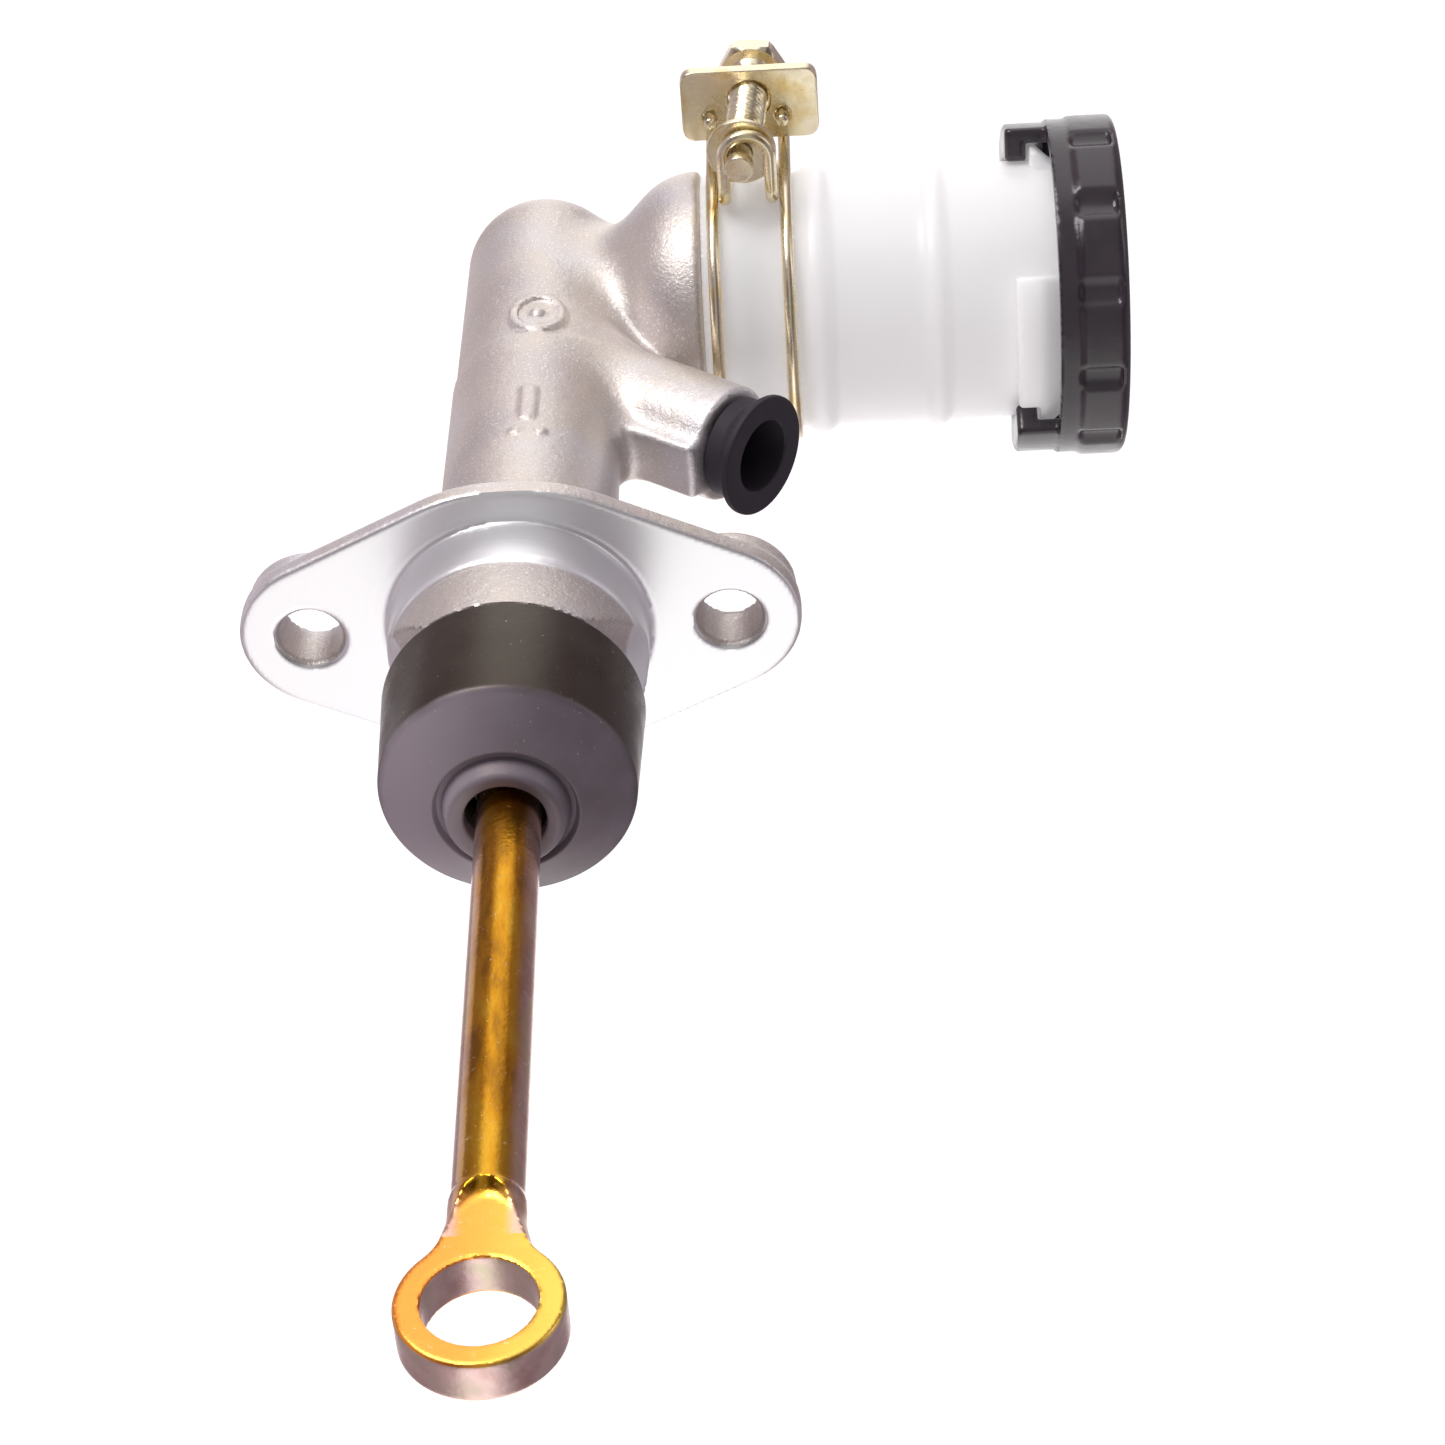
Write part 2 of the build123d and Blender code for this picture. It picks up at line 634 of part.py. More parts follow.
with BuildPart() as reservoir:
    with BuildSketch(tower_section):
        Polygon(
            (neck_r, TOWER_TOP_Z + 0.05),
            (RESERVOIR_R + 0.2, TOWER_TOP_Z + 0.05),
            (RESERVOIR_R, SPIGOT_TOP_Z),
            (RESERVOIR_R, RESERVOIR_TOP_Z),
            (neck_r, RESERVOIR_TOP_Z),
            align=None,
        )
        for bead_z, bead_half, bead_height in BEADS:
            with Locations((RESERVOIR_R, bead_z)):
                Ellipse(bead_height, bead_half)
    revolve(axis=tower_axis)
    # Bayonet collar in two sectors: each has a deep stop block, then a thin lip for the cap's hook.
    for lug_angle in LUG_ANGLES:
        for low_z, start, span in (
            (COLLAR_STOP_Z, lug_angle + STOP_START, STOP_SPAN),
            (COLLAR_LOW_Z, lug_angle + LIP_START, LIP_SPAN),
        ):
            with BuildSketch(tower_section_at(start)):
                Polygon(
                    (RESERVOIR_R - 0.5, low_z),
                    (BAYONET_R, low_z),
                    (BAYONET_R, COLLAR_LOW_Z + 0.6),
                    (RESERVOIR_R + 0.1, COLLAR_TOP_Z),
                    (RESERVOIR_R - 0.5, COLLAR_TOP_Z),
                    align=None,
                )
            revolve(axis=tower_axis, revolution_arc=span)
save(reservoir.part, "reservoir")

with BuildPart() as cap_gasket:
    with BuildSketch(tower_section):
        Polygon(
            (13, RESERVOIR_TOP_Z + 0.35),
            (CAP_SKIRT_R - 0.5, RESERVOIR_TOP_Z + 0.35),
            (CAP_SKIRT_R - 0.5, CAP_ROOF_Z - 0.05),
            (0, CAP_ROOF_Z - 0.05),
            (0, CAP_ROOF_Z - 1.2),
            (13, CAP_ROOF_Z - 1.2),
            align=None,
        )
    revolve(axis=tower_axis)
save(cap_gasket.part, "cap_gasket")

with BuildPart() as reservoir_cap:
    with BuildSketch(tower_section) as cap:
        Polygon(
            (0, CAP_ROOF_Z),
            (CAP_SKIRT_R, CAP_ROOF_Z),
            (CAP_SKIRT_R, CAP_LOW_Z),
            (CAP_BAND_R, CAP_LOW_Z),
            (CAP_BAND_R, CAP_LOW_Z + 2.2),
            (CAP_R, CAP_LOW_Z + 2.8),
            (CAP_R, CAP_TOP_Z),
            (21.5, CAP_TOP_Z),
            (20.7, CAP_TOP_Z - 0.8),
            (0, CAP_TOP_Z - 0.8),
            align=None,
        )
        fillet(nearest(cap.vertices(), (CAP_R, CAP_TOP_Z)), 1.6)
    revolve(axis=tower_axis)
    for flute in range(CAP_FLUTES):
        angle = radians(CAP_FLUTE_FIRST + flute * 360 / CAP_FLUTES)
        reach = CAP_R + FLUTE_R - FLUTE_DEPTH
        centre = (reach * cos(angle), TOWER_Y + reach * sin(angle))
        with BuildSketch(Plane.XY.offset(CAP_LOW_Z + 2.4)):
            with Locations(centre):
                Circle(FLUTE_R)
        extrude(amount=12, mode=Mode.SUBTRACT)
    # Raised cross bars on top, to turn the cap by hand.
    with BuildSketch(Plane.XY.offset(CAP_TOP_Z - 0.8)):
        with Locations((0, TOWER_Y)):
            Circle(7.5)
            for turn in (0, 60, 120):
                SlotOverall(36, 3.2, rotation=turn)
    extrude(amount=0.8)
    for lug_angle in LUG_ANGLES:
        with BuildSketch(tower_section_at(lug_angle - LUG_SPAN / 2)):
            Polygon(
                (LUG_HOOK_R, LUG_LOW_Z),
                (LUG_R, LUG_LOW_Z),
                (LUG_R, CAP_LOW_Z + 0.5),
                (LUG_INNER_R, CAP_LOW_Z + 0.5),
                (LUG_INNER_R, LUG_HOOK_TOP_Z),
                (LUG_HOOK_R, LUG_HOOK_TOP_Z),
                align=None,
            )
        revolve(axis=tower_axis, revolution_arc=LUG_SPAN)
save(reservoir_cap.part, "reservoir_cap")

# ---- Wire clamp round the reservoir -------------------------------------------------------------
hook_x = -WIRE_RING_R - 2 * HOOK_R
tail_y = PLATE_Y - PLATE_T - 2.5
with BuildPart() as clamp_wire:
    # One wire: hooked end, ring, loop over the screw's neck, second ring, second hooked end.
    with BuildLine() as wire_path:
        for side in (-1, 1):
            tail_z = RING_Z + side * WIRE_TAIL
            loop_z = RING_Z + side * WIRE_LOOP
            Line((hook_x, tail_y, tail_z), (hook_x, HOOK_Y, tail_z))
            ThreePointArc(
                (hook_x, HOOK_Y, tail_z),
                (-WIRE_RING_R - HOOK_R, HOOK_Y + HOOK_R, tail_z),
                (-WIRE_RING_R, HOOK_Y, tail_z),
            )
            Line((-WIRE_RING_R, HOOK_Y, tail_z), (-WIRE_RING_R, TOWER_Y, tail_z))
            # Most of the ring is flat; the last quarter moves in, to pass beside the wire's end.
            CenterArc((0, TOWER_Y, tail_z), WIRE_RING_R, 180, 270)
            quarter = [
                (
                    WIRE_RING_R * cos(radians(90 + step)),
                    TOWER_Y + WIRE_RING_R * sin(radians(90 + step)),
                    tail_z + (loop_z - tail_z) * (1 - cos(radians(2 * step))) / 2,
                )
                for step in range(0, 91, 15)
            ]
            Spline(*quarter, tangents=[(-1, 0, 0), (0, -1, 0)])
            bend_x = -WIRE_RING_R - LOOP_BEND_R
            bend_y = LOOP_Y + LOOP_BEND_R
            Line((-WIRE_RING_R, TOWER_Y, loop_z), (-WIRE_RING_R, bend_y, loop_z))
            RadiusArc((-WIRE_RING_R, bend_y, loop_z), (bend_x, LOOP_Y, loop_z), LOOP_BEND_R)
            Line((bend_x, LOOP_Y, loop_z), (SCREW_X, LOOP_Y, loop_z))
        ThreePointArc(
            (SCREW_X, LOOP_Y, RING_Z - WIRE_LOOP),
            (SCREW_X - WIRE_LOOP, LOOP_Y, RING_Z),
            (SCREW_X, LOOP_Y, RING_Z + WIRE_LOOP),
        )
    with BuildSketch(Plane(origin=(hook_x, tail_y, RING_Z - WIRE_TAIL), z_dir=(0, 1, 0))):
        Circle(WIRE_R)
    sweep(path=wire_path.wires()[0])
save(clamp_wire.part, "clamp_wire")

with BuildPart() as clamp_plate:
    with BuildSketch(across_bore(PLATE_Y)):
        with Locations((PLATE_X, PLATE_Z)):
            RectangleRounded(PLATE_WIDTH, PLATE_HEIGHT, 2)
        for side in (-1, 1):
            with Locations((hook_x, RING_Z + side * WIRE_TAIL)):
                Circle(WIRE_R + 0.1, mode=Mode.SUBTRACT)
        with Locations((SCREW_X, PLATE_Z)):
            Circle(SCREW_R + 0.25, mode=Mode.SUBTRACT)
    extrude(amount=PLATE_T)
save(clamp_plate.part, "clamp_plate")

# The screw leans a little in the plate's hole; heights below are kept as the same y values.
screw_axis = Axis((SCREW_X, PLATE_Y, PLATE_Z), (0, cos(radians(SCREW_LEAN)), sin(radians(SCREW_LEAN))))
screw_section = Plane(
    origin=screw_axis.position - screw_axis.direction * PLATE_Y,
    x_dir=(1, 0, 0),
    z_dir=(0, -screw_axis.direction.Z, screw_axis.direction.Y),
)


def across_screw(y):
    """The plane across the leaning screw, y along it."""
    return Plane(origin=screw_section.from_local_coords((0, y, 0)), z_dir=screw_axis.direction)


with BuildPart() as clamp_screw:
    with BuildSketch(screw_section):
        Polygon(
            (0, SCREW_TIP_Y),
            (BUTTON_R, SCREW_TIP_Y),
            (BUTTON_R, SCREW_TIP_Y + 2),
            (SCREW_NECK_R, SCREW_TIP_Y + 2),
            (SCREW_NECK_R, WASHER_Y + WASHER_T + 0.1),
            (SCREW_R, WASHER_Y + WASHER_T + 0.1),
            (SCREW_R, SCREW_HEAD_Y),
            (0, SCREW_HEAD_Y),
            align=None,
        )
    revolve(axis=screw_axis)
    with BuildSketch(across_screw(SCREW_HEAD_Y)):
        RegularPolygon(SCREW_HEAD_R, 6)
    extrude(amount=SCREW_HEAD_T)
save(clamp_screw.part, "clamp_screw")

with BuildPart() as clamp_washer:
    with BuildSketch(across_screw(WASHER_Y)):
        Circle(WASHER_R)
        Circle(SCREW_NECK_R + 0.1, mode=Mode.SUBTRACT)
    extrude(amount=WASHER_T)
save(clamp_washer.part, "clamp_washer")
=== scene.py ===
"""Looks of the brake master cylinder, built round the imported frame.

Metres in Blender; the shape functions work in millimetres, in the same frame: the bore runs along +Y
from the flange's mounting face, and the reservoir stands up +Z at TOWER_Y.
"""

import json
import math

import bpy
import numpy as np
from mathutils import Matrix, Vector


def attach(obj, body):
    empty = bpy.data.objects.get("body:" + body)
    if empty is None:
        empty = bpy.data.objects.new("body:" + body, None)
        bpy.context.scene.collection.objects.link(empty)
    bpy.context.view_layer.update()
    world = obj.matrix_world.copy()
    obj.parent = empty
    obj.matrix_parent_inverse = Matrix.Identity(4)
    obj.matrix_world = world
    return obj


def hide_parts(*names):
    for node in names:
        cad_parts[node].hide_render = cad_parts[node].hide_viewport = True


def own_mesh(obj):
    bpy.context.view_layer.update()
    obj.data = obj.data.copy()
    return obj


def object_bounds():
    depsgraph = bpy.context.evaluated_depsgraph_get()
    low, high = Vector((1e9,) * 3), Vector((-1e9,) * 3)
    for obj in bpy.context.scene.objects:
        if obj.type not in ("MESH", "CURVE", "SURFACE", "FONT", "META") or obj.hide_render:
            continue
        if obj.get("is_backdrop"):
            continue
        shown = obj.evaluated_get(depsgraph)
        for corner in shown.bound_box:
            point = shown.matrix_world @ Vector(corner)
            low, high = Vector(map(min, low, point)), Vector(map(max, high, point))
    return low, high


MM = 0.001
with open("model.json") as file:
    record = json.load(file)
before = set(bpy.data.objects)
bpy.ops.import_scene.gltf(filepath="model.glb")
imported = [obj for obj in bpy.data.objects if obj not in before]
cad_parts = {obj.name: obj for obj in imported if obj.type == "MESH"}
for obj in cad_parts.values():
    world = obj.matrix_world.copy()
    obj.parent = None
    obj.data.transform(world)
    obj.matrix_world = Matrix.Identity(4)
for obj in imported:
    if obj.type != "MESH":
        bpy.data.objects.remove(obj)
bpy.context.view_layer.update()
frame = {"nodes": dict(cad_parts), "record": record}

# ---- Sizes shared with the part, in millimetres -----------------------------------------------
TOWER_Y = 83.6
PORT_Y = 65.0
PORT_AXIS = (0.0, -0.6, 0.8)
PORT_SIDE = (0.0, -0.8, -0.6)  # across the outlet's axis, towards the flange
PORT_LENGTH = 36.0
STUD_Z = 28.575
EYE_Y = -126.0
BALL_Y = -10.0
ROD_LEAN = math.radians(0.8)
RESERVOIR_R = 19.4
COLLAR_R = 22.2
HOOK_ANGLES = (143.5, 323.5)  # middles of the cap's two hooks, about the reservoir's axis
CAP_LOW_Z = 77.8
CAP_TOP_Z = 88.1
RING_R = 20.65
RING_Z = 32.6
WIRE_R = 0.95
WIRE_END_X = -25.95
PLATE_Z = 33.2
SCREW_X = -28.5
SCREW_Y = 97.0  # where the leaning screw's axis meets the plate's middle height
SCREW_LEAN = math.radians(4.0)
BARREL_R = 12.3
BARREL_END_Y = 103.8
REGISTER_R = 17.6
STUD_HOLE_R = 4.35
ROD_R = 4.2
EYE_R = 9.4
EYE_HOLE_R = 6.4
EYE_HALF = 2.8
RESERVOIR_BORE_R = 17.6
PLATE_X = -27.75
PLATE_Y = 96.0
WIRE_TAIL = 5.5  # from the clamp's middle height to its hooked ends
WIRE_LOOP = 3.5  # radius of the wire's loop round the screw's neck
LOOP_Y = 77.0
SCREW_R = 2.95

# ---- Sizes of the look ------------------------------------------------------------------------
CASTING_STEP = 0.55  # grid steps, in millimetres
FINE_STEP = 0.4
RESERVOIR_STEP = 0.5
PLATE_STEP = 0.22
CAMERA_AT = (-276.93, -385.55, 43.49)
CAMERA_AHEAD = (0.60659, 0.79424, -0.03504)
LENS_MM = 87.35
ROOM_STOPS = (  # the room's colour from the camera's left (0) to its right (1)
    (0.0, (0.34, 0.31, 0.34)), (0.17, (0.22, 0.18, 0.20)), (0.30, (0.34, 0.29, 0.31)),
    (0.40, (0.92, 0.89, 0.90)), (0.5, (1, 0.99, 0.97)), (0.59, (0.90, 0.87, 0.88)),
    (0.70, (0.26, 0.22, 0.24)), (0.83, (0.17, 0.14, 0.16)), (1.0, (0.30, 0.28, 0.30)),
)


# ---- Shapes as distance functions: negative inside, millimetres -------------------------------
def turned(radius, along, size, low, high, soft=0.0):
    """A cylinder: distance in the plane of its radius and its length, with edges rounded by soft."""
    across = radius - (size - soft)
    ends = np.maximum(low + soft - along, along - high + soft)
    outside = np.hypot(np.maximum(across, 0), np.maximum(ends, 0))
    return np.minimum(np.maximum(across, ends), 0) + outside - soft


def block(x, y, z, half, soft=0.0):
    """A box of the given half sizes about the origin, with its edges rounded by soft."""
    out = [np.abs(value) - size + soft for value, size in zip((x, y, z), half)]
    outside = np.sqrt(sum(np.maximum(value, 0) ** 2 for value in out))
    return np.minimum(np.maximum(np.maximum(out[0], out[1]), out[2]), 0) + outside - soft


def join(a, b, blend=0.0):
    """Union of two shapes with a fillet of about the blend's size between them."""
    if blend <= 0:
        return np.minimum(a, b)
    mix = np.maximum(blend - np.abs(a - b), 0) / blend
    return np.minimum(a, b) - mix * mix * blend / 4


def cut(a, b, blend=0.0):
    """What of a lies outside b, with the new edge softened by blend."""
    return -join(-a, b, blend)


def common(a, b, blend=0.0):
    """What two shapes share, with the edge between them softened by blend."""
    return -join(-a, -b, blend)


def port_frame(x, y, z):
    """Distance along the outlet's axis, towards the flange across it, and the radius about it."""
    along = (y - PORT_Y) * PORT_AXIS[1] + z * PORT_AXIS[2]
    side = (y - PORT_Y) * PORT_SIDE[1] + z * PORT_SIDE[2]
    return along, side, np.hypot(x, side)


def flange_outline(x, z):
    """The flange's outline: round ends, straight tangent sides and a short flat on each side."""
    end_z, end_r, half_width = 25.75, 12.0, 22.3
    lean = math.radians(25.6)
    x, z = np.abs(x), np.abs(z)
    side = x * math.cos(lean) + (z - end_z) * math.sin(lean) - end_r
    past = (z - end_z) * math.cos(lean) - x * math.sin(lean) > 0
    ends = np.where(past, np.hypot(x, z - end_z) - end_r, side)
    return common(ends, x - half_width, 2.5)


def body_shape(x, y, z):
    """The whole casting: cast radii between its limbs, then every machined face and hole."""
    radius = np.hypot(x, z)
    tower = np.hypot(x, y - TOWER_Y)
    along, side, port = port_frame(x, y, z)
    barrel = turned(radius, y, BARREL_R, -30, BARREL_END_Y, 9)
    barrel = join(barrel, turned(radius, y, 12.6, -5, 57, 0.2), 0.6)
    cone = common((tower - z - 0.55) * math.sqrt(0.5), turned(tower, z, 20.3, 6.5, 25, 0.9), 3.5)
    boss = turned(port, along, 8.9 - 0.3 * np.clip(along, 0, PORT_LENGTH) / PORT_LENGTH, 4, PORT_LENGTH, 0.7)
    rib = block(x, side - 4.8, along - 20, (4.4, 4.8, 16), 0.9)
    shape = join(barrel, cone, 7)
    shape = join(shape, join(boss, rib, 1.4), 5)
    plate = common(flange_outline(x, z), y - 3.5, 1.6)
    pads = turned(np.hypot(x, np.abs(z) - STUD_Z), y, 9.1, -2, 8, 0.8)
    shape = join(shape, join(plate, pads, 2.2), 4)
    shape = common(shape, -y, 0.7)
    narrower = 0.4 * np.clip((-8.0 - y) / 0.9, 0, 1)
    shape = join(shape, turned(radius + narrower, y, REGISTER_R, -18, 2, 0.15), 0.9)
    shape = join(shape, turned(radius, y, 15.2, -24, 2, 0.3))
    shape = cut(shape, turned(np.abs(radius - 16.2), y, 2.0, -20.8, -18.4))
    shape = join(shape, turned(tower, z, 17.2, 20, 41, 0.5))
    shape = cut(shape, turned(np.abs(tower - 17.4), z, 2.0, 31, 33.8))
    stud = np.hypot(x, np.abs(z) - STUD_Z)
    shape = cut(shape, turned(stud, y, STUD_HOLE_R, -2, 10))
    shape = np.maximum(shape, -(stud + y - 5.05) * math.sqrt(0.5))
    bore = join(turned(radius, y, 8.95, -30, 78), turned(radius, y, 9.95, -19.25, -17.85))
    feed = join(turned(radius, y, 2.5, 70, 86), turned(tower, z, 2.5, 0, 30))
    well = turned(tower, z, 14, 23, 50)
    outlet = join(turned(port, along, 2.5, 5, 30), turned(port, along, 6.05, 21, 50))
    for hole in (bore, feed, well, outlet):
        shape = cut(shape, hole)
    return join(shape, cast_marks(x, y, z), 0.5)


def cast_marks(x, y, z):
    """Low raised marks on the barrel's side: a ring round a dot, a short bar and two dots."""
    depth = np.abs(np.hypot(x, z) - BARREL_R) - 0.72
    across = np.where(x < 0, 12.4 * np.arctan2(z, -x), 99.0)
    ring = np.abs(np.hypot((y - 62.5) / 1.25, across - 0.9) - 3.6) - 0.6
    centre = np.hypot(y - 62.5, across - 0.9) - 1.0
    bar = np.hypot(np.maximum(np.abs(y - 37.5) - 3.4, 0), across - 0.6) - 1.1
    dots = np.hypot(np.abs(across - 0.8) - 1.8, y - 30.2) - 0.8
    return common(np.minimum(np.minimum(ring, centre), np.minimum(bar, dots)), depth, 0.35)


def pushrod_shape(x, y, z):
    """Rod, ball and forged eye: the eye and its neck are pressed flat, with curved run-outs."""
    y, z = (
        BALL_Y + (y - BALL_Y) * math.cos(ROD_LEAN) - z * math.sin(ROD_LEAN),
        (y - BALL_Y) * math.sin(ROD_LEAN) + z * math.cos(ROD_LEAN),
    )
    radius = np.hypot(x, z)
    rod = turned(radius, y, ROD_R, EYE_Y + 6, BALL_Y, 0.2)
    ball = np.sqrt(x * x + (y - BALL_Y) ** 2 + z * z) - 5.9
    spread = np.clip((y - EYE_Y - 8.2) / 6.5, 0, 1)
    neck = turned(radius, y, 5.5 - 1.3 * spread * spread * (3 - 2 * spread), EYE_Y + 4, EYE_Y + 17, 0.3)
    run_out = EYE_Y + 14.8 - 0.22 * np.minimum(z * z, 16)
    flat = np.maximum(np.abs(x) - EYE_HALF, y - run_out)
    groove = np.hypot(np.abs(x) - EYE_HALF - 3.0, y - run_out) - 3.0
    pressed = join(rod, neck, 1.0)
    pressed = np.where(y < run_out, np.maximum(pressed, flat), cut(pressed, groove))
    eye_r = np.hypot(y - EYE_Y, z)
    eye = turned(eye_r, x, EYE_R, -EYE_HALF, EYE_HALF, 0.5)
    shape = join(pressed, eye, 1.6)
    shape = np.maximum(shape, np.where(y < run_out - 1, np.abs(x) - EYE_HALF, -1e3))
    shape = cut(shape, turned(eye_r, x, EYE_HOLE_R, -9, 9), 0.35)
    return join(shape, ball, 0.8)


def sector(x, y, middle, half, radius):
    """How far outside a sector of the reservoir's circle a point is, measured round it."""
    angle = np.degrees(np.arctan2(y - TOWER_Y, x)) - middle
    away = np.abs((angle + 180) % 360 - 180) - half
    return np.radians(away) * radius


def reservoir_shape(x, y, z):
    """Moulded tube with two beads, and the bayonet collar in two sectors round its neck."""
    radius = np.hypot(x, y - TOWER_Y)
    outer = RESERVOIR_R + 0.2 * np.clip((41 - z) / 16, 0, 1)
    shape = turned(radius, z, outer, 25.1, 83, 0.35)
    for height, half, out in ((42.2, 1.8, 1.15), (60.0, 1.3, 0.8)):
        bead = (np.hypot((radius - RESERVOIR_R) / out, (z - height) / half) - 1) * out
        shape = join(shape, np.maximum(bead, radius - 24), 0.9)
    slope = ((radius - COLLAR_R) * 2.9 + (z - 75.7) * 2.7) / 3.96
    for middle in HOOK_ANGLES:
        for low, centre, half in ((71.9, middle - 58.5, 29.5), (75.1, middle + 0.8, 30.0)):
            part = common(np.maximum(low - z, slope), radius - COLLAR_R, 0.6)
            part = common(part, sector(x, y, centre, half, radius), 0.6)
            shape = join(shape, np.maximum(part, 18.9 - radius), 0.5)
    return cut(shape, turned(radius, z, RESERVOIR_BORE_R, 20, 90))


def cap_shape(x, y, z):
    """Bayonet cap: rounded rim, moulded finger hollows, cross bars on top and two hooks below."""
    radius = np.hypot(x, y - TOWER_Y)
    shape = turned(radius, z, 25.9, CAP_LOW_Z + 2.6, CAP_TOP_Z, 1.5)
    shape = join(shape, turned(radius, z, 25.4, CAP_LOW_Z, CAP_TOP_Z - 3, 0.3), 0.4)
    turn = (np.arctan2(y - TOWER_Y, x) - math.radians(2) + math.pi / 12) % (math.pi / 6) - math.pi / 12
    hollow = np.hypot(radius * np.cos(turn) - 28.1, radius * np.sin(turn)) - 3.2
    hollow = common(hollow, np.abs(z - CAP_TOP_Z + 4.2) - 3.1, 0.8)
    shape = cut(shape, hollow, 0.5)
    shape = cut(shape, turned(radius, z, 20.8, CAP_TOP_Z - 0.8, 99, 0.4), 0.4)
    bars = turned(radius, z, 7.5, CAP_TOP_Z - 3, CAP_TOP_Z, 0.3)
    for angle in (0, 60, 120):
        side, end = math.cos(math.radians(angle)), math.sin(math.radians(angle))
        along = x * side + (y - TOWER_Y) * end
        across = (y - TOWER_Y) * side - x * end
        bar = np.hypot(np.maximum(np.abs(along) - 16.4, 0), across) - 1.6
        bars = join(bars, common(bar, np.abs(z - CAP_TOP_Z + 1.5) - 1.5, 0.4), 0.5)
    shape = join(shape, bars, 0.4)
    shape = cut(shape, turned(radius, z, 23.3, 60, CAP_TOP_Z - 2.7))
    for middle in HOOK_ANGLES:
        wall = np.maximum(22.6 - radius, np.maximum(radius - 25.0, z - CAP_LOW_Z - 0.5))
        foot = np.maximum(19.9 - radius, np.maximum(radius - 25.0, z - 74.7))
        hook = common(np.minimum(wall, foot), 71.5 - z, 0.8)
        hook = common(hook, sector(x, y, middle, 24, radius), 0.9)
        shape = join(shape, hook, 0.5)
    return shape


def plate_shape(x, y, z):
    """Stamped clamp plate: rolled edges and three holes."""
    wide, tall = np.abs(x - PLATE_X), np.abs(z - PLATE_Z)
    shape = common(np.maximum(wide - 5.9, tall - 10.5), np.abs(y - PLATE_Y) - 1.0, 0.5)
    corner = np.hypot(np.maximum(wide - 3.6, 0), np.maximum(tall - 8.2, 0)) - 2.3
    shape = common(shape, corner, 0.3)
    shape = cut(shape, np.hypot(x - SCREW_X, z - PLATE_Z) - 3.2, 0.3)
    return cut(shape, np.hypot(x - WIRE_END_X, np.abs(z - RING_Z) - WIRE_TAIL) - 1.1, 0.3)


def surface(shape, low, high, step):
    """Points and four-sided faces on a shape's zero surface, by surface nets, then drawn onto it."""
    counts = [int(math.ceil((b - a) / step)) + 1 for a, b in zip(low, high)]
    axes = [a + step * np.arange(n) for a, n in zip(low, counts)]
    values = shape(*np.meshgrid(*axes, indexing="ij")).astype(np.float32)
    inside = values < 0
    cells = [n - 1 for n in counts]
    total = np.zeros(cells + [3], np.float32)
    hits = np.zeros(cells, np.float32)
    crossings = []
    for axis in range(3):
        first = [slice(None)] * 3
        last = [slice(None)] * 3
        first[axis], last[axis] = slice(0, -1), slice(1, None)
        one, two = values[tuple(first)], values[tuple(last)]
        place = np.argwhere(inside[tuple(first)] != inside[tuple(last)])
        part = one[tuple(place.T)] / (one[tuple(place.T)] - two[tuple(place.T)])
        point = place.astype(np.float32)
        point[:, axis] += part
        crossings.append((place, inside[tuple(first)][tuple(place.T)]))
        others = [other for other in range(3) if other != axis]
        for shift in ((0, 0), (0, 1), (1, 0), (1, 1)):
            cell = place.copy()
            cell[:, others[0]] -= shift[0]
            cell[:, others[1]] -= shift[1]
            good = np.all((cell >= 0) & (cell < cells), axis=1)
            index = tuple(cell[good].T)
            np.add.at(total, index, point[good])
            np.add.at(hits, index, 1)
    used = hits > 0
    number = np.full(cells, -1, np.int64)
    number[used] = np.arange(np.count_nonzero(used))
    points = total[used] / hits[used][:, None] * step + np.array(low, np.float32)
    faces = []
    for axis, (place, starts_inside) in enumerate(crossings):
        others = [(axis + 1) % 3, (axis + 2) % 3]
        corners = []
        for shift in ((0, 0), (1, 0), (1, 1), (0, 1)):
            cell = place.copy()
            cell[:, others[0]] -= shift[0]
            cell[:, others[1]] -= shift[1]
            cell = np.clip(cell, 0, np.array(cells) - 1)
            corners.append(number[tuple(cell.T)])
        quad = np.stack(corners, axis=1)
        quad[~starts_inside] = quad[~starts_inside][:, ::-1]
        faces.append(quad)
    faces = np.concatenate(faces)
    faces = faces[np.all(faces >= 0, axis=1)]
    reach = step * 0.5
    for _ in range(3):
        here = shape(*points.T)
        slope = []
        for axis in range(3):
            moved = points.copy()
            moved[:, axis] += 0.02
            slope.append((shape(*moved.T) - here) / 0.02)
        slope = np.stack(slope, axis=1)
        size = np.maximum(np.sum(slope * slope, axis=1), 0.3)
        points = points - slope * np.clip(here / size, -reach, reach)[:, None]
    return points, faces


def mesh_object(name, points, faces, sharp=38):
    """A Blender mesh object from points in millimetres, smooth except at edges over sharp degrees."""
    mesh = bpy.data.meshes.new(name)
    mesh.from_pydata((np.asarray(points) * MM).tolist(), [], [tuple(int(i) for i in face) for face in faces])
    mesh.validate()
    mesh.shade_smooth()
    mesh.set_sharp_from_angle(angle=math.radians(sharp))
    piece = bpy.data.objects.new(name, mesh)
    bpy.context.scene.collection.objects.link(piece)
    return piece


def carved(name, shape, low, high, step, sharp=38):
    """A piece whose surface is the zero of a distance function."""
    return mesh_object(name, *surface(shape, low, high, step), sharp)


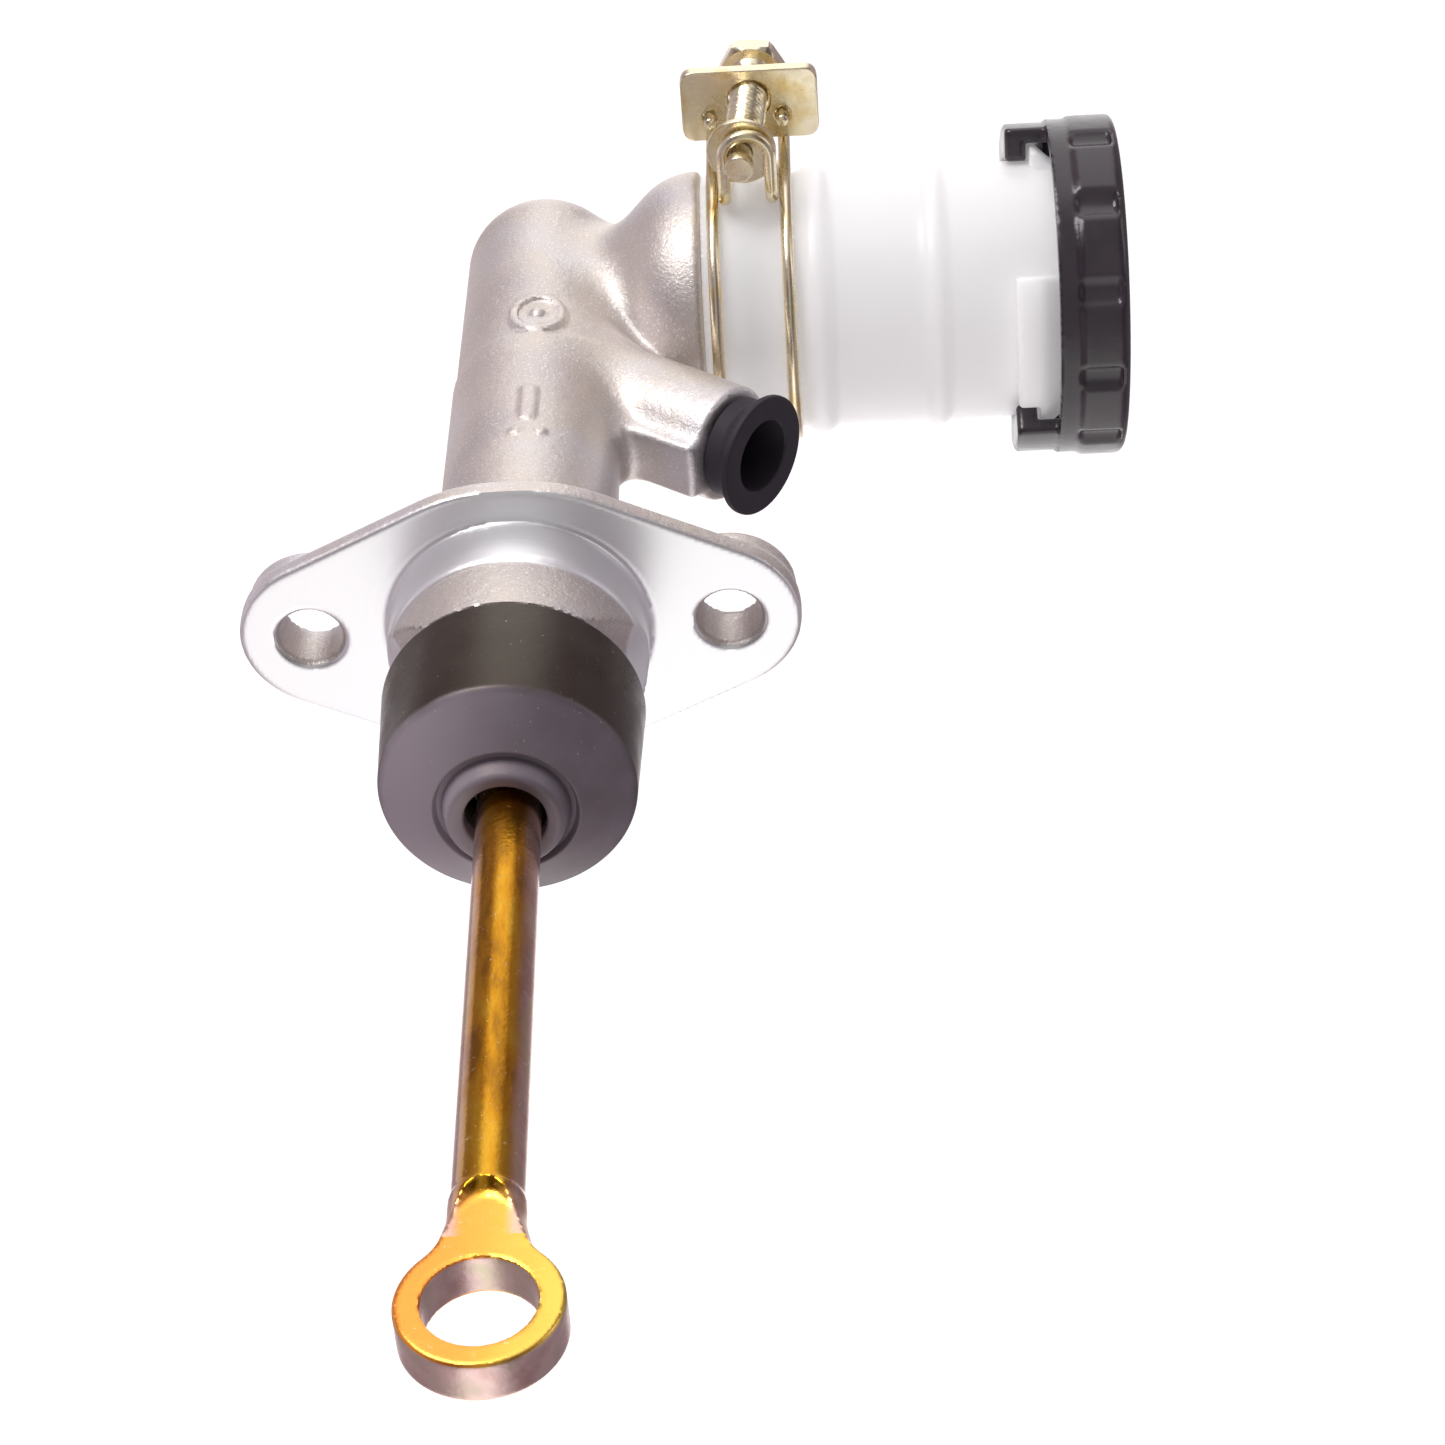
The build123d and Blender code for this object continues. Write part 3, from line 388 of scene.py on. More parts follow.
def rounded(corners, steps=6):
    """A smooth outline from (radius, height, rounding) corners, each rounded by an arc."""
    outline = []
    count = len(corners)
    for index, (x, y, soft) in enumerate(corners):
        here = Vector((x, y))
        before = Vector(corners[index - 1][:2]) - here
        after = Vector(corners[(index + 1) % count][:2]) - here
        turn = before.angle(after) if soft > 0 else 0
        if soft <= 0 or turn < 1e-3 or abs(turn - math.pi) < 1e-3:
            outline.append((x, y))
            continue
        back = min(soft / math.tan(turn / 2), before.length * 0.49, after.length * 0.49)
        start, end = here + before.normalized() * back, here + after.normalized() * back
        for step in range(steps + 1):
            t = step / steps
            outline.append(tuple(start * (1 - t) ** 2 + here * 2 * t * (1 - t) + end * t * t))
    return outline


def lathe(name, corners, place, segments=144, sharp=38, wobble=None):
    """A turned piece from a closed outline of corners; place maps (radius, height, angle) to a point."""
    outline = rounded(corners)
    angles = np.arange(segments) * 2 * math.pi / segments
    points, faces = [], []
    rows = len(outline)
    for angle in angles:
        for radius, height in outline:
            if wobble:
                radius = wobble(radius, height, angle)
            points.append(place(radius, height, angle))
    for turn in range(segments):
        other = (turn + 1) % segments
        for row in range(rows):
            up = (row + 1) % rows
            if outline[row][0] < 1e-6 and outline[up][0] < 1e-6:
                continue
            faces.append((turn * rows + row, other * rows + row, other * rows + up, turn * rows + up))
    piece = mesh_object(name, points, faces, sharp)
    tidy = piece.modifiers.new("weld", "WELD")
    tidy.merge_threshold = 1e-6
    return piece


def tube(name, path, radius, segments=20):
    """A round wire along a path of points in millimetres, with rounded ends."""
    path = np.asarray(path, float)
    ahead = np.gradient(path, axis=0)
    ahead /= np.linalg.norm(ahead, axis=1)[:, None]
    side = np.cross(ahead[0], (0.3, 0.2, 0.9))
    angles = np.arange(segments) * 2 * math.pi / segments
    points, faces = [], []
    rows = len(path)
    for row, (point, along) in enumerate(zip(path, ahead)):
        side = side - along * np.dot(side, along)
        side /= np.linalg.norm(side)
        other = np.cross(along, side)
        size = radius * (0.8 if row in (0, rows - 1) else 1.0)
        points.extend(point + size * (math.cos(a) * side + math.sin(a) * other) for a in angles)
    for row in range(rows - 1):
        for turn in range(segments):
            after = (turn + 1) % segments
            low, high = row * segments, (row + 1) * segments
            faces.append((low + turn, low + after, high + after, high + turn))
    faces.append(tuple(range(segments))[::-1])
    faces.append(tuple((rows - 1) * segments + turn for turn in range(segments)))
    return mesh_object(name, points, faces, 60)


def arc(centre, size, start, end, across, count):
    """Points of an arc of that size; across maps (cosine, sine) offsets to a direction in space."""
    steps = np.radians(np.linspace(start, end, count))
    return [tuple(np.array(centre) + np.array(across(size * math.cos(t), size * math.sin(t)))) for t in steps]


def clamp_half(side):
    """Half of the clamp's wire: hooked end, ring and one leg of the loop round the screw's neck."""
    tail, leg = RING_Z + side * WIRE_TAIL, RING_Z + side * WIRE_LOOP
    path = [(WIRE_END_X, y, tail) for y in (92.5, 92.8, 94, 96)]
    path += arc((-RING_R - 2.65, 97.2, tail), 2.65, 180, 0, lambda a, b: (a, b, 0), 16)
    path += [(-RING_R, y, tail) for y in (95, 91, 87)]
    path += arc((0, TOWER_Y, tail), RING_R, 180, 450, lambda a, b: (a, b, 0), 100)
    for step in range(3, 91, 3):
        angle = math.radians(90 + step)
        height = tail + (leg - tail) * (1 - math.cos(math.radians(2 * step))) / 2
        path.append((RING_R * math.cos(angle), TOWER_Y + RING_R * math.sin(angle), height))
    path += arc((-RING_R - 2.6, 79.6, leg), 2.6, 0, -90, lambda a, b: (a, b, 0), 10)
    return path + [(-25.5, LOOP_Y, leg), (-27.2, LOOP_Y, leg)]


def clamp_path():
    """The whole clamp as one wire, from hooked end to hooked end."""
    bend = arc((SCREW_X, LOOP_Y, RING_Z), WIRE_LOOP, -90, 90, lambda a, b: (-a, 0, b), 20)
    return clamp_half(-1) + bend + clamp_half(1)[::-1]


def on_screw(radius, height, angle):
    """A point of the leaning screw, its height given as the y it would have if it stood straight."""
    across, along = radius * math.sin(angle), height - SCREW_Y
    return (
        SCREW_X + radius * math.cos(angle),
        SCREW_Y + along * math.cos(SCREW_LEAN) - across * math.sin(SCREW_LEAN),
        PLATE_Z + along * math.sin(SCREW_LEAN) + across * math.cos(SCREW_LEAN),
    )


def screw_outline():
    """The clamp screw from its button tip to its head; the thread's rows are close together."""
    outline = [(0, 73, 0), (2.1, 73, 0.3), (2.1, 75, 0.2), (1.6, 75, 0.2), (1.6, 79.6, 0)]
    outline += [(2.5, 79.6, 0)] + [(SCREW_R, y, 0) for y in np.arange(80.1, 101.4, 0.16)]
    outline += [(SCREW_R, 101.5, 0), (3.4, 102.4, 0.2), (4.7, 102.6, 0.2), (5.6, 103.1, 0.1), (5.6, 105.1, 0)]
    return outline + [(5.2, 105.6, 0), (4.5, 106.0, 0.2), (0, 106.0, 0)]


def screw_relief(radius, height, angle):
    """Cuts the thread into the shank and the six flats into the head."""
    if 80.0 < height < 101.45 and radius > 2.9:
        phase = (height / 1.0 - angle / (2 * math.pi)) % 1.0
        return SCREW_R - 0.42 * (1 - abs(2 * phase - 1) ** 1.2)
    if height > 102.55 and radius > 4.6:
        sixth = (angle + math.pi / 6) % (math.pi / 3) - math.pi / 6
        return min(radius, 4.85 / math.cos(sixth))
    return radius


def coil_path():
    """The return spring's wire, with its two end turns closed up flat."""
    low, high, turns = 27.85, 67.15, 7.5
    closed, wire = 0.6, 1.6
    path = []
    for step in range(421):
        turn = step / 420 * turns
        rise = max(0.0, min(1.0, (turn - closed) / (turns - 2 * closed))) * (high - low - 2 * wire)
        rise += wire * min(turn, closed) / closed
        rise += wire * max(0.0, turn - turns + closed) / closed
        angle = turn * 2 * math.pi
        path.append((6.9 * math.cos(angle), low + rise, 6.9 * math.sin(angle)))
    return path


def on_bore(radius, height, angle):
    """A point of a piece turned about the bore."""
    return (radius * math.cos(angle), height, -radius * math.sin(angle))


def on_port(radius, height, angle):
    """A point of a piece turned about the outlet, its height measured along the outlet's axis."""
    across = radius * math.sin(angle)
    return (
        radius * math.cos(angle),
        PORT_Y + PORT_AXIS[1] * height - PORT_SIDE[1] * across,
        PORT_AXIS[2] * height - PORT_SIDE[2] * across,
    )


# ---- Materials --------------------------------------------------------------------------------
class Look:
    """A material whose nodes are written in a few words."""

    def __init__(self, name, **shader):
        self.material = bpy.data.materials.new(name)
        self.material.use_nodes = True
        self.tree = self.material.node_tree
        self.shader = self.tree.nodes["Principled BSDF"]
        self.set(self.shader, shader)

    def set(self, node, values):
        for name, value in values.items():
            numbered = name[0] == "i" and name[1:].isdigit()
            socket = node.inputs[int(name[1:]) if numbered else name.replace("_", " ")]
            if isinstance(value, bpy.types.NodeSocket):
                self.tree.links.new(value, socket)
            else:
                socket.default_value = value

    def add(self, kind, options=None, **values):
        node = self.tree.nodes.new("ShaderNode" + kind)
        for name, value in (options or {}).items():
            setattr(node, name, value)
        self.set(node, values)
        return node

    def place(self):
        """Where the point is, in metres, in the part's own frame."""
        return self.add("TexCoord").outputs["Object"]

    def xyz(self):
        split = self.add("SeparateXYZ", Vector=self.place())
        return split.outputs["X"], split.outputs["Y"], split.outputs["Z"]

    def maths(self, operation, a, b=0.0):
        return self.add("Math", {"operation": operation}, i0=a, i1=b).outputs[0]

    def noise(self, size_mm, detail=3.0, rough=0.55, vector=None, stretch=None):
        """Noise whose features are about size_mm across, from 0 to 1."""
        vector = vector or self.place()
        if stretch:
            vector = self.add("Mapping", Vector=vector, Scale=stretch).outputs[0]
        node = self.add("TexNoise", Vector=vector, Scale=1 / (size_mm * MM), Detail=detail, Roughness=rough)
        return node.outputs["Fac"]

    def ramp(self, fac, *stops):
        """A colour ramp; each stop is (position, colour or grey)."""
        node = self.add("ValToRGB", Fac=fac)
        elements = node.color_ramp.elements
        while len(elements) < len(stops):
            elements.new(0.5)
        for element, (position, colour) in zip(elements, stops):
            element.position = position
            element.color = (colour,) * 3 + (1,) if isinstance(colour, (int, float)) else tuple(colour) + (1,)
        return node.outputs["Color"]

    def mix(self, fac, a, b):
        node = self.add("Mix", {"data_type": "RGBA"}, i0=fac, i6=a, i7=b)
        return node.outputs[2]

    def length(self, a, b):
        """The length of the vector with these two parts."""
        total = self.maths("ADD", self.maths("MULTIPLY", a, a), self.maths("MULTIPLY", b, b))
        return self.maths("SQRT", total)

    def soft(self, value, low, high):
        """0 below low, 1 above high and a smooth rise between."""
        options = {"interpolation_type": "SMOOTHSTEP"}
        return self.add("MapRange", options, Value=value, From_Min=low, From_Max=high).outputs["Result"]

    def bump(self, height, distance_mm, strength=1.0, onto=None):
        values = {"Height": height, "Distance": distance_mm * MM, "Strength": strength}
        if onto is not None:
            values["Normal"] = onto
        return self.add("Bump", **values).outputs[0]

    def finish(self, **sockets):
        self.set(self.shader, sockets)
        return self.material


def rgb(*values):
    return (*values, 1.0)


def cast_aluminium():
    """Blasted casting, with the mounting face and the part of the register next to it machined bright."""
    look = Look("cast_aluminium", Metallic=0.82)
    x, y, z = look.xyz()
    radius = look.length(x, z)
    rings = look.noise(0.3, 2, vector=look.add("CombineXYZ", X=radius, Y=y).outputs[0])
    machined = look.soft(y, -9.2 * MM, -8.6 * MM)
    machined = look.maths("MULTIPLY", machined, look.maths("LESS_THAN", y, 0.3 * MM))
    grain = look.noise(0.42, 4, 0.65)
    pits = look.noise(1.6, 3, 0.6)
    cloud = look.noise(22, 2, 0.5)
    cast_colour = look.ramp(
        cloud, (0.32, (0.60, 0.545, 0.54)), (0.5, (0.69, 0.63, 0.58)), (0.68, (0.70, 0.675, 0.70)),
    )
    # Painted glints: small random spots turned near white stand in for light sparkling off the blasted grain.
    painted_glints = look.ramp(look.noise(0.34, 1, 0.4), (0.58, 0.0), (0.74, 0.75))
    cast_colour = look.mix(painted_glints, cast_colour, rgb(0.93, 0.90, 0.88))
    bright = look.ramp(rings, (0.3, (0.91, 0.91, 0.93)), (0.7, (0.95, 0.95, 0.96)))
    colour = look.mix(machined, cast_colour, bright)
    cast_rough = look.ramp(grain, (0.3, 0.36), (0.75, 0.52))
    machined_rough = look.ramp(rings, (0.3, 0.30), (0.7, 0.37))
    rough = look.mix(machined, cast_rough, machined_rough)
    height = look.maths("ADD", look.maths("MULTIPLY", grain, 0.6), look.maths("MULTIPLY", pits, 0.8))
    height = look.mix(machined, height, look.maths("MULTIPLY", rings, 0.05))
    return look.finish(Base_Color=colour, Roughness=rough, Normal=look.bump(height, 0.14))


def zinc(name, warm, pale, blush, rough_low, rough_high, streak):
    """Passivated zinc plating: drifting gold, pink and green tints, handling marks and fine pits."""
    look = Look(name, Metallic=1.0)
    drift = look.noise(9, 3, 0.6, stretch=streak)
    colour = look.ramp(drift, (0.3, warm), (0.48, pale), (0.62, blush), (0.75, warm))
    marks = look.ramp(look.noise(1.1, 5, 0.7), (0.62, 0.0), (0.74, 1.0))
    colour = look.mix(look.maths("MULTIPLY", marks, 0.3), colour, rgb(0.93, 0.87, 0.78))
    rough = look.ramp(look.noise(2.5, 4, 0.6), (0.3, rough_low), (0.7, rough_high))
    height = look.maths("ADD", look.noise(0.9, 2), look.maths("MULTIPLY", marks, 0.3))
    return look.finish(Base_Color=colour, Roughness=rough, Normal=look.bump(height, 0.012))


def plated_rod():
    """Yellow zinc on the pushrod: orange to yellow across it, with a painted reflection in pale purple on the
    rod's sides and the eye's rims.
    """
    look = Look("yellow_zinc", Metallic=1.0)
    place = look.add(
        "VectorRotate", {"rotation_type": "X_AXIS"},
        Vector=look.place(), Center=(0, BALL_Y * MM, 0), Angle=ROD_LEAN,
    )
    split = look.add("SeparateXYZ", Vector=place.outputs[0])
    x, y, z = split.outputs["X"], split.outputs["Y"], split.outputs["Z"]
    drift = look.maths("MULTIPLY", look.maths("SUBTRACT", look.noise(7, 3, 0.5), 0.5), 10 * MM)
    tint = look.soft(look.maths("ADD", z, drift), -7 * MM, 9 * MM)
    streaks = look.noise(3, 4, 0.6, vector=place.outputs[0], stretch=(1, 0.25, 1))
    turned_gold = look.ramp(
        streaks, (0.36, (0.34, 0.15, 0.014)), (0.5, (0.58, 0.26, 0.014)), (0.64, (0.66, 0.36, 0.03)),
    )
    gold = look.ramp(tint, (0.0, (0.98, 0.38, 0.07)), (0.5, (0.95, 0.46, 0.08)), (1.0, (0.86, 0.60, 0.11)))
    forged = look.soft(y, (EYE_Y + 16.5) * MM, (EYE_Y + 15) * MM)
    gold = look.mix(forged, turned_gold, gold)
    # Painted reflection: the rod's sides, left and right in the view, get a pale purple that stands in for
    # the bright room seen at their edges.
    painted_flank_reflection = look.maths("ABSOLUTE", look.maths("ADD", z, look.maths("MULTIPLY", drift, 0.12)))
    painted_flank_reflection = look.soft(painted_flank_reflection, 2.2 * MM, 3.7 * MM)
    # The eye's rims, round its hole and round its outside, take the same painted reflection.
    from_eye = look.maths("ADD", y, -EYE_Y * MM)
    eye_r = look.length(from_eye, z)
    in_hole = look.maths("LESS_THAN", eye_r, (EYE_HOLE_R + 0.15) * MM)
    rim = look.maths("ADD", in_hole, look.maths("GREATER_THAN", eye_r, (EYE_R - 0.2) * MM))
    thin = look.maths("LESS_THAN", look.maths("ABSOLUTE", x), 2.45 * MM)
    on_eye = look.maths("LESS_THAN", y, (EYE_Y + 9.6) * MM)
    # Where the painted reflection lies: the sides on the rod, the rims on the eye.
    pink = look.mix(on_eye, look.maths("MULTIPLY", painted_flank_reflection, 0.75), look.maths("MULTIPLY", rim, thin))
    # The pale purple of the painted reflection.
    painted_mauve_reflection = look.ramp(
        look.noise(6, 3, 0.5),
        (0.35, (0.62, 0.40, 0.36)), (0.5, (0.76, 0.56, 0.52)), (0.68, (0.60, 0.52, 0.38)),
    )
    colour = look.mix(pink, gold, painted_mauve_reflection)
    marks = look.ramp(look.noise(0.8, 5, 0.7), (0.63, 0.0), (0.72, 0.5))
    colour = look.mix(marks, colour, rgb(0.95, 0.85, 0.70))
    wear = look.noise(2.5, 4, 0.6)
    drawn = look.ramp(wear, (0.3, 0.11), (0.7, 0.20))
    pressed = look.ramp(wear, (0.3, 0.24), (0.7, 0.38))
    rough = look.mix(forged, drawn, pressed)
    height = look.maths("ADD", look.noise(0.7, 3), look.maths("MULTIPLY", marks, 0.8))
    return look.finish(Base_Color=colour, Roughness=rough, Normal=look.bump(height, 0.03))


def milky_plastic():
    """Translucent moulded plastic: light passes into the wall, an emission adds a painted glow on top, and
    faint flow marks.
    """
    # The emission is a painted glow: the plastic shines a little though it is no lamp.
    look = Look(
        "milky_plastic", Subsurface_Weight=0.75, Subsurface_Scale=0.012, Specular_IOR_Level=0.4,
        Coat_Weight=0.15, Coat_Roughness=0.25, Emission_Color=rgb(1.0, 0.985, 1.0), Emission_Strength=0.2,
    )
    look.shader.inputs["Subsurface Radius"].default_value = (1.0, 0.97, 1.0)
    flow = look.noise(14, 2, 0.5)
    colour = look.ramp(flow, (0.35, (0.93, 0.92, 0.935)), (0.65, (0.965, 0.955, 0.965)))
    rough = look.ramp(look.noise(5, 3), (0.3, 0.30), (0.7, 0.42))
    return look.finish(Base_Color=colour, Roughness=rough, Normal=look.bump(look.noise(3.5, 3), 0.03))


def black(name, tint, rough_low, rough_high, grain_mm, bump_mm, level=0.5):
    """Black rubber or moulded plastic with a fine grain."""
    look = Look(name, Specular_IOR_Level=level)
    colour = look.ramp(look.noise(8, 3), (0.35, tint), (0.65, tuple(value * 1.5 for value in tint)))
    rough = look.ramp(look.noise(4, 4, 0.6), (0.3, rough_low), (0.7, rough_high))
    return look.finish(Base_Color=colour, Roughness=rough, Normal=look.bump(look.noise(grain_mm, 3), bump_mm))


def boot_rubber():
    """Black rubber: glossy and brownish round the boot's side; on its cone a matte violet grey that is partly
    its own tone and partly painted sheen, lighter towards -z as a painted highlight.
    """
    look = Look("boot_rubber", Specular_IOR_Level=0.6, Specular_Tint=rgb(1.0, 0.82, 0.66))
    _, y, z = look.xyz()
    edge = look.maths("ADD", y, look.maths("MULTIPLY", look.noise(6, 3), 0.8 * MM))
    cone = look.soft(edge, -34.0 * MM, -35.4 * MM)
    side = look.ramp(look.noise(7, 3), (0.35, (0.016, 0.011, 0.008)), (0.65, (0.024, 0.018, 0.014)))
    # The cone's violet grey is partly the rubber's own matte tone and partly painted sheen.
    grey = look.ramp(look.noise(9, 3), (0.35, (0.15, 0.128, 0.155)), (0.65, (0.19, 0.165, 0.20)))
    # Painted highlight: the cone grows lighter towards -z, the side the light comes from.
    painted_left_sheen = look.soft(z, 8 * MM, -15 * MM)
    grey = look.mix(painted_left_sheen, grey, rgb(0.36, 0.31, 0.36))
    colour = look.mix(cone, side, grey)
    specks = look.ramp(look.noise(0.5, 2, 0.5), (0.72, 0.0), (0.78, 0.7))
    colour = look.mix(specks, colour, rgb(0.5, 0.46, 0.42))
    wear = look.noise(4, 4)
    side_rough = look.ramp(wear, (0.3, 0.24), (0.7, 0.36))
    cone_rough = look.ramp(wear, (0.3, 0.4), (0.7, 0.5))
    rough = look.mix(cone, side_rough, cone_rough)
    return look.finish(Base_Color=colour, Roughness=rough, Normal=look.bump(look.noise(1.0, 3), 0.02))


def plain_metal(name, tint, rough):
    """Bright turned metal with faint tool marks."""
    look = Look(name, Metallic=1.0)
    marks = look.noise(0.6, 3, stretch=(1, 6, 1))
    colour = look.ramp(marks, (0.3, tuple(value * 0.88 for value in tint)), (0.7, tint))
    return look.finish(
        Base_Color=colour, Roughness=look.ramp(marks, (0.3, rough), (0.7, rough + 0.12)),
        Normal=look.bump(marks, 0.02),
    )


ALUMINIUM = cast_aluminium()
GOLD = plated_rod()
PALE_GOLD = zinc(
    "pale_zinc", (0.78, 0.60, 0.27), (0.86, 0.77, 0.54), (0.82, 0.72, 0.55), 0.20, 0.32, (1, 1, 1),
)
MILK = milky_plastic()
CAP_BLACK = black("cap_plastic", (0.028, 0.021, 0.028), 0.16, 0.28, 2.2, 0.05, level=0.55)
BOOT_BLACK = boot_rubber()
PLUG_BLACK = black("plug_rubber", (0.024, 0.020, 0.028), 0.5, 0.65, 0.8, 0.03, level=0.3)
SEAL_BLACK = black("seal_rubber", (0.02, 0.02, 0.022), 0.4, 0.5, 0.7, 0.02)
STEEL = plain_metal("plain_steel", (0.62, 0.62, 0.64), 0.25)
BRIGHT = plain_metal("bright_aluminium", (0.85, 0.85, 0.87), 0.22)

SLOT_LOOK = {
    "cast_aluminium": ALUMINIUM, "bright_aluminium": BRIGHT, "yellow_zinc_steel": GOLD,
    "clamp_steel": PALE_GOLD, "plain_steel": STEEL, "black_rubber": SEAL_BLACK,
    "plug_rubber": PLUG_BLACK, "reservoir_plastic": MILK, "cap_plastic": CAP_BLACK,
}
NODE_SLOT = {entry["node"]: entry["material_slot"] for entry in frame["record"]["subparts"]}
for node, piece in frame["nodes"].items():
    piece.data.materials.clear()
    piece.data.materials.append(SLOT_LOOK[NODE_SLOT[node]])


def dress(piece, look, body, node):
    """Gives a new piece its material and its body, and hides the CAD node that it stands for."""
    piece.data.materials.append(look)
    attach(piece, body)
    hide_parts(node)
    return piece


# ---- Pieces -----------------------------------------------------------------------------------
dress(
    carved("body_casting", body_shape, (-24, -25.2, -39.2), (24, 104.4, 42.2), CASTING_STEP),
    ALUMINIUM, "housing", "cylinder_body",
)
dress(
    carved("rod_and_eye", pushrod_shape, (-7, -136.4, -9.6), (7, -3.2, 12.4), FINE_STEP),
    GOLD, "pushrod_group", "pushrod",
)

BOOT_OUTLINE = (
    (15.3, -18.1, 0), (17.4, -18.1, 0.4), (16.65, -35.2, 1.1), (9.4, -39.6, 0.3), (8.9, -38.5, 0.2),
    (8.3, -38.7, 0.3), (7.4, -41.8, 1.5), (5.3, -41.3, 0.6), (5.3, -38.8, 0.3), (8.0, -37.4, 0.5),
    (14.6, -33.4, 1.2), (15.15, -24.1, 0.2), (15.3, -24.1, 0), (15.3, -20.7, 0), (14.3, -20.7, 0),
    (14.3, -18.5, 0), (15.3, -18.5, 0),
)
dress(lathe("rubber_boot", BOOT_OUTLINE, on_bore), BOOT_BLACK, "housing", "dust_boot")

PLUG_OUTLINE = (
    (0, 25, 0), (5.5, 25, 0.6), (5.9, 27, 0.4), (5.9, 36.4, 0.2), (7.4, 36.4, 0.4), (7.3, 39.2, 1.5),
    (9.0, 40.9, 0.5), (9.0, 41.8, 0.35), (5.4, 41.8, 0.4), (4.6, 28, 0.6), (0, 28, 0),
)
dress(lathe("transit_plug", PLUG_OUTLINE, on_port), PLUG_BLACK, "plug_group", "outlet_plug")

dress(
    carved(
        "reservoir_moulding", reservoir_shape,
        (-23, TOWER_Y - 23, 24.5), (23, TOWER_Y + 23, 84), RESERVOIR_STEP,
    ),
    MILK, "housing", "reservoir",
)
dress(
    carved("cap_moulding", cap_shape, (-26.6, TOWER_Y - 26.6, 70.8), (26.6, TOWER_Y + 26.6, 88.8), FINE_STEP),
    CAP_BLACK, "cap_group", "reservoir_cap",
)
dress(tube("wire_clamp", clamp_path(), WIRE_R), PALE_GOLD, "housing", "clamp_wire")
dress(
    carved("plate", plate_shape, (-34.3, 94.6, 22.2), (-21.2, 97.4, 44.2), PLATE_STEP),
    PALE_GOLD, "housing", "clamp_plate",
)
dress(
    lathe("threaded_screw", screw_outline(), on_screw, 96, 30, screw_relief),
    PALE_GOLD, "housing", "clamp_screw",
)
WASHER_OUTLINE = ((1.7, 78.5, 0.1), (5.2, 78.5, 0.25), (5.2, 79.5, 0.25), (1.7, 79.5, 0.1))
dress(lathe("screw_washer", WASHER_OUTLINE, on_screw, 96), PALE_GOLD, "housing", "clamp_washer")
spring = dress(tube("spring_coil", coil_path(), 0.8, 14), STEEL, "housing", "return_spring")
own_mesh(spring)


# ---- Camera, light and stage ------------------------------------------------------------------
def set_camera():
    """The camera: where it stands, and the directions of its view, its right and its up."""
    eye = Vector(CAMERA_AT) * MM
    ahead = Vector(CAMERA_AHEAD).normalized()
    right = ahead.cross(Vector((0, 1, 0))).normalized()
    up = right.cross(ahead)
    data = bpy.data.cameras.new("camera")
    data.lens = LENS_MM
    data.sensor_width = 36
    data.clip_start = 0.01
    data.clip_end = 50
    camera = bpy.data.objects.new("camera", data)
    rows = Matrix((right, up, -ahead)).transposed()
    camera.matrix_world = Matrix.Translation(eye) @ rows.to_4x4()
    bpy.context.scene.collection.objects.link(camera)
    bpy.context.scene.camera = camera
    return right, up, ahead


def softbox(name, direction, distance, size, power, target):
    """An area light of size (width, height) metres, aimed at the target from a direction."""
    data = bpy.data.lights.new(name, "AREA")
    data.shape = "RECTANGLE"
    data.size, data.size_y = size
    data.energy = power
    lamp = bpy.data.objects.new(name, data)
    lamp.location = target + direction.normalized() * distance
    lamp.rotation_euler = (-direction).to_track_quat("-Z", "Y").to_euler()
    bpy.context.scene.collection.objects.link(lamp)


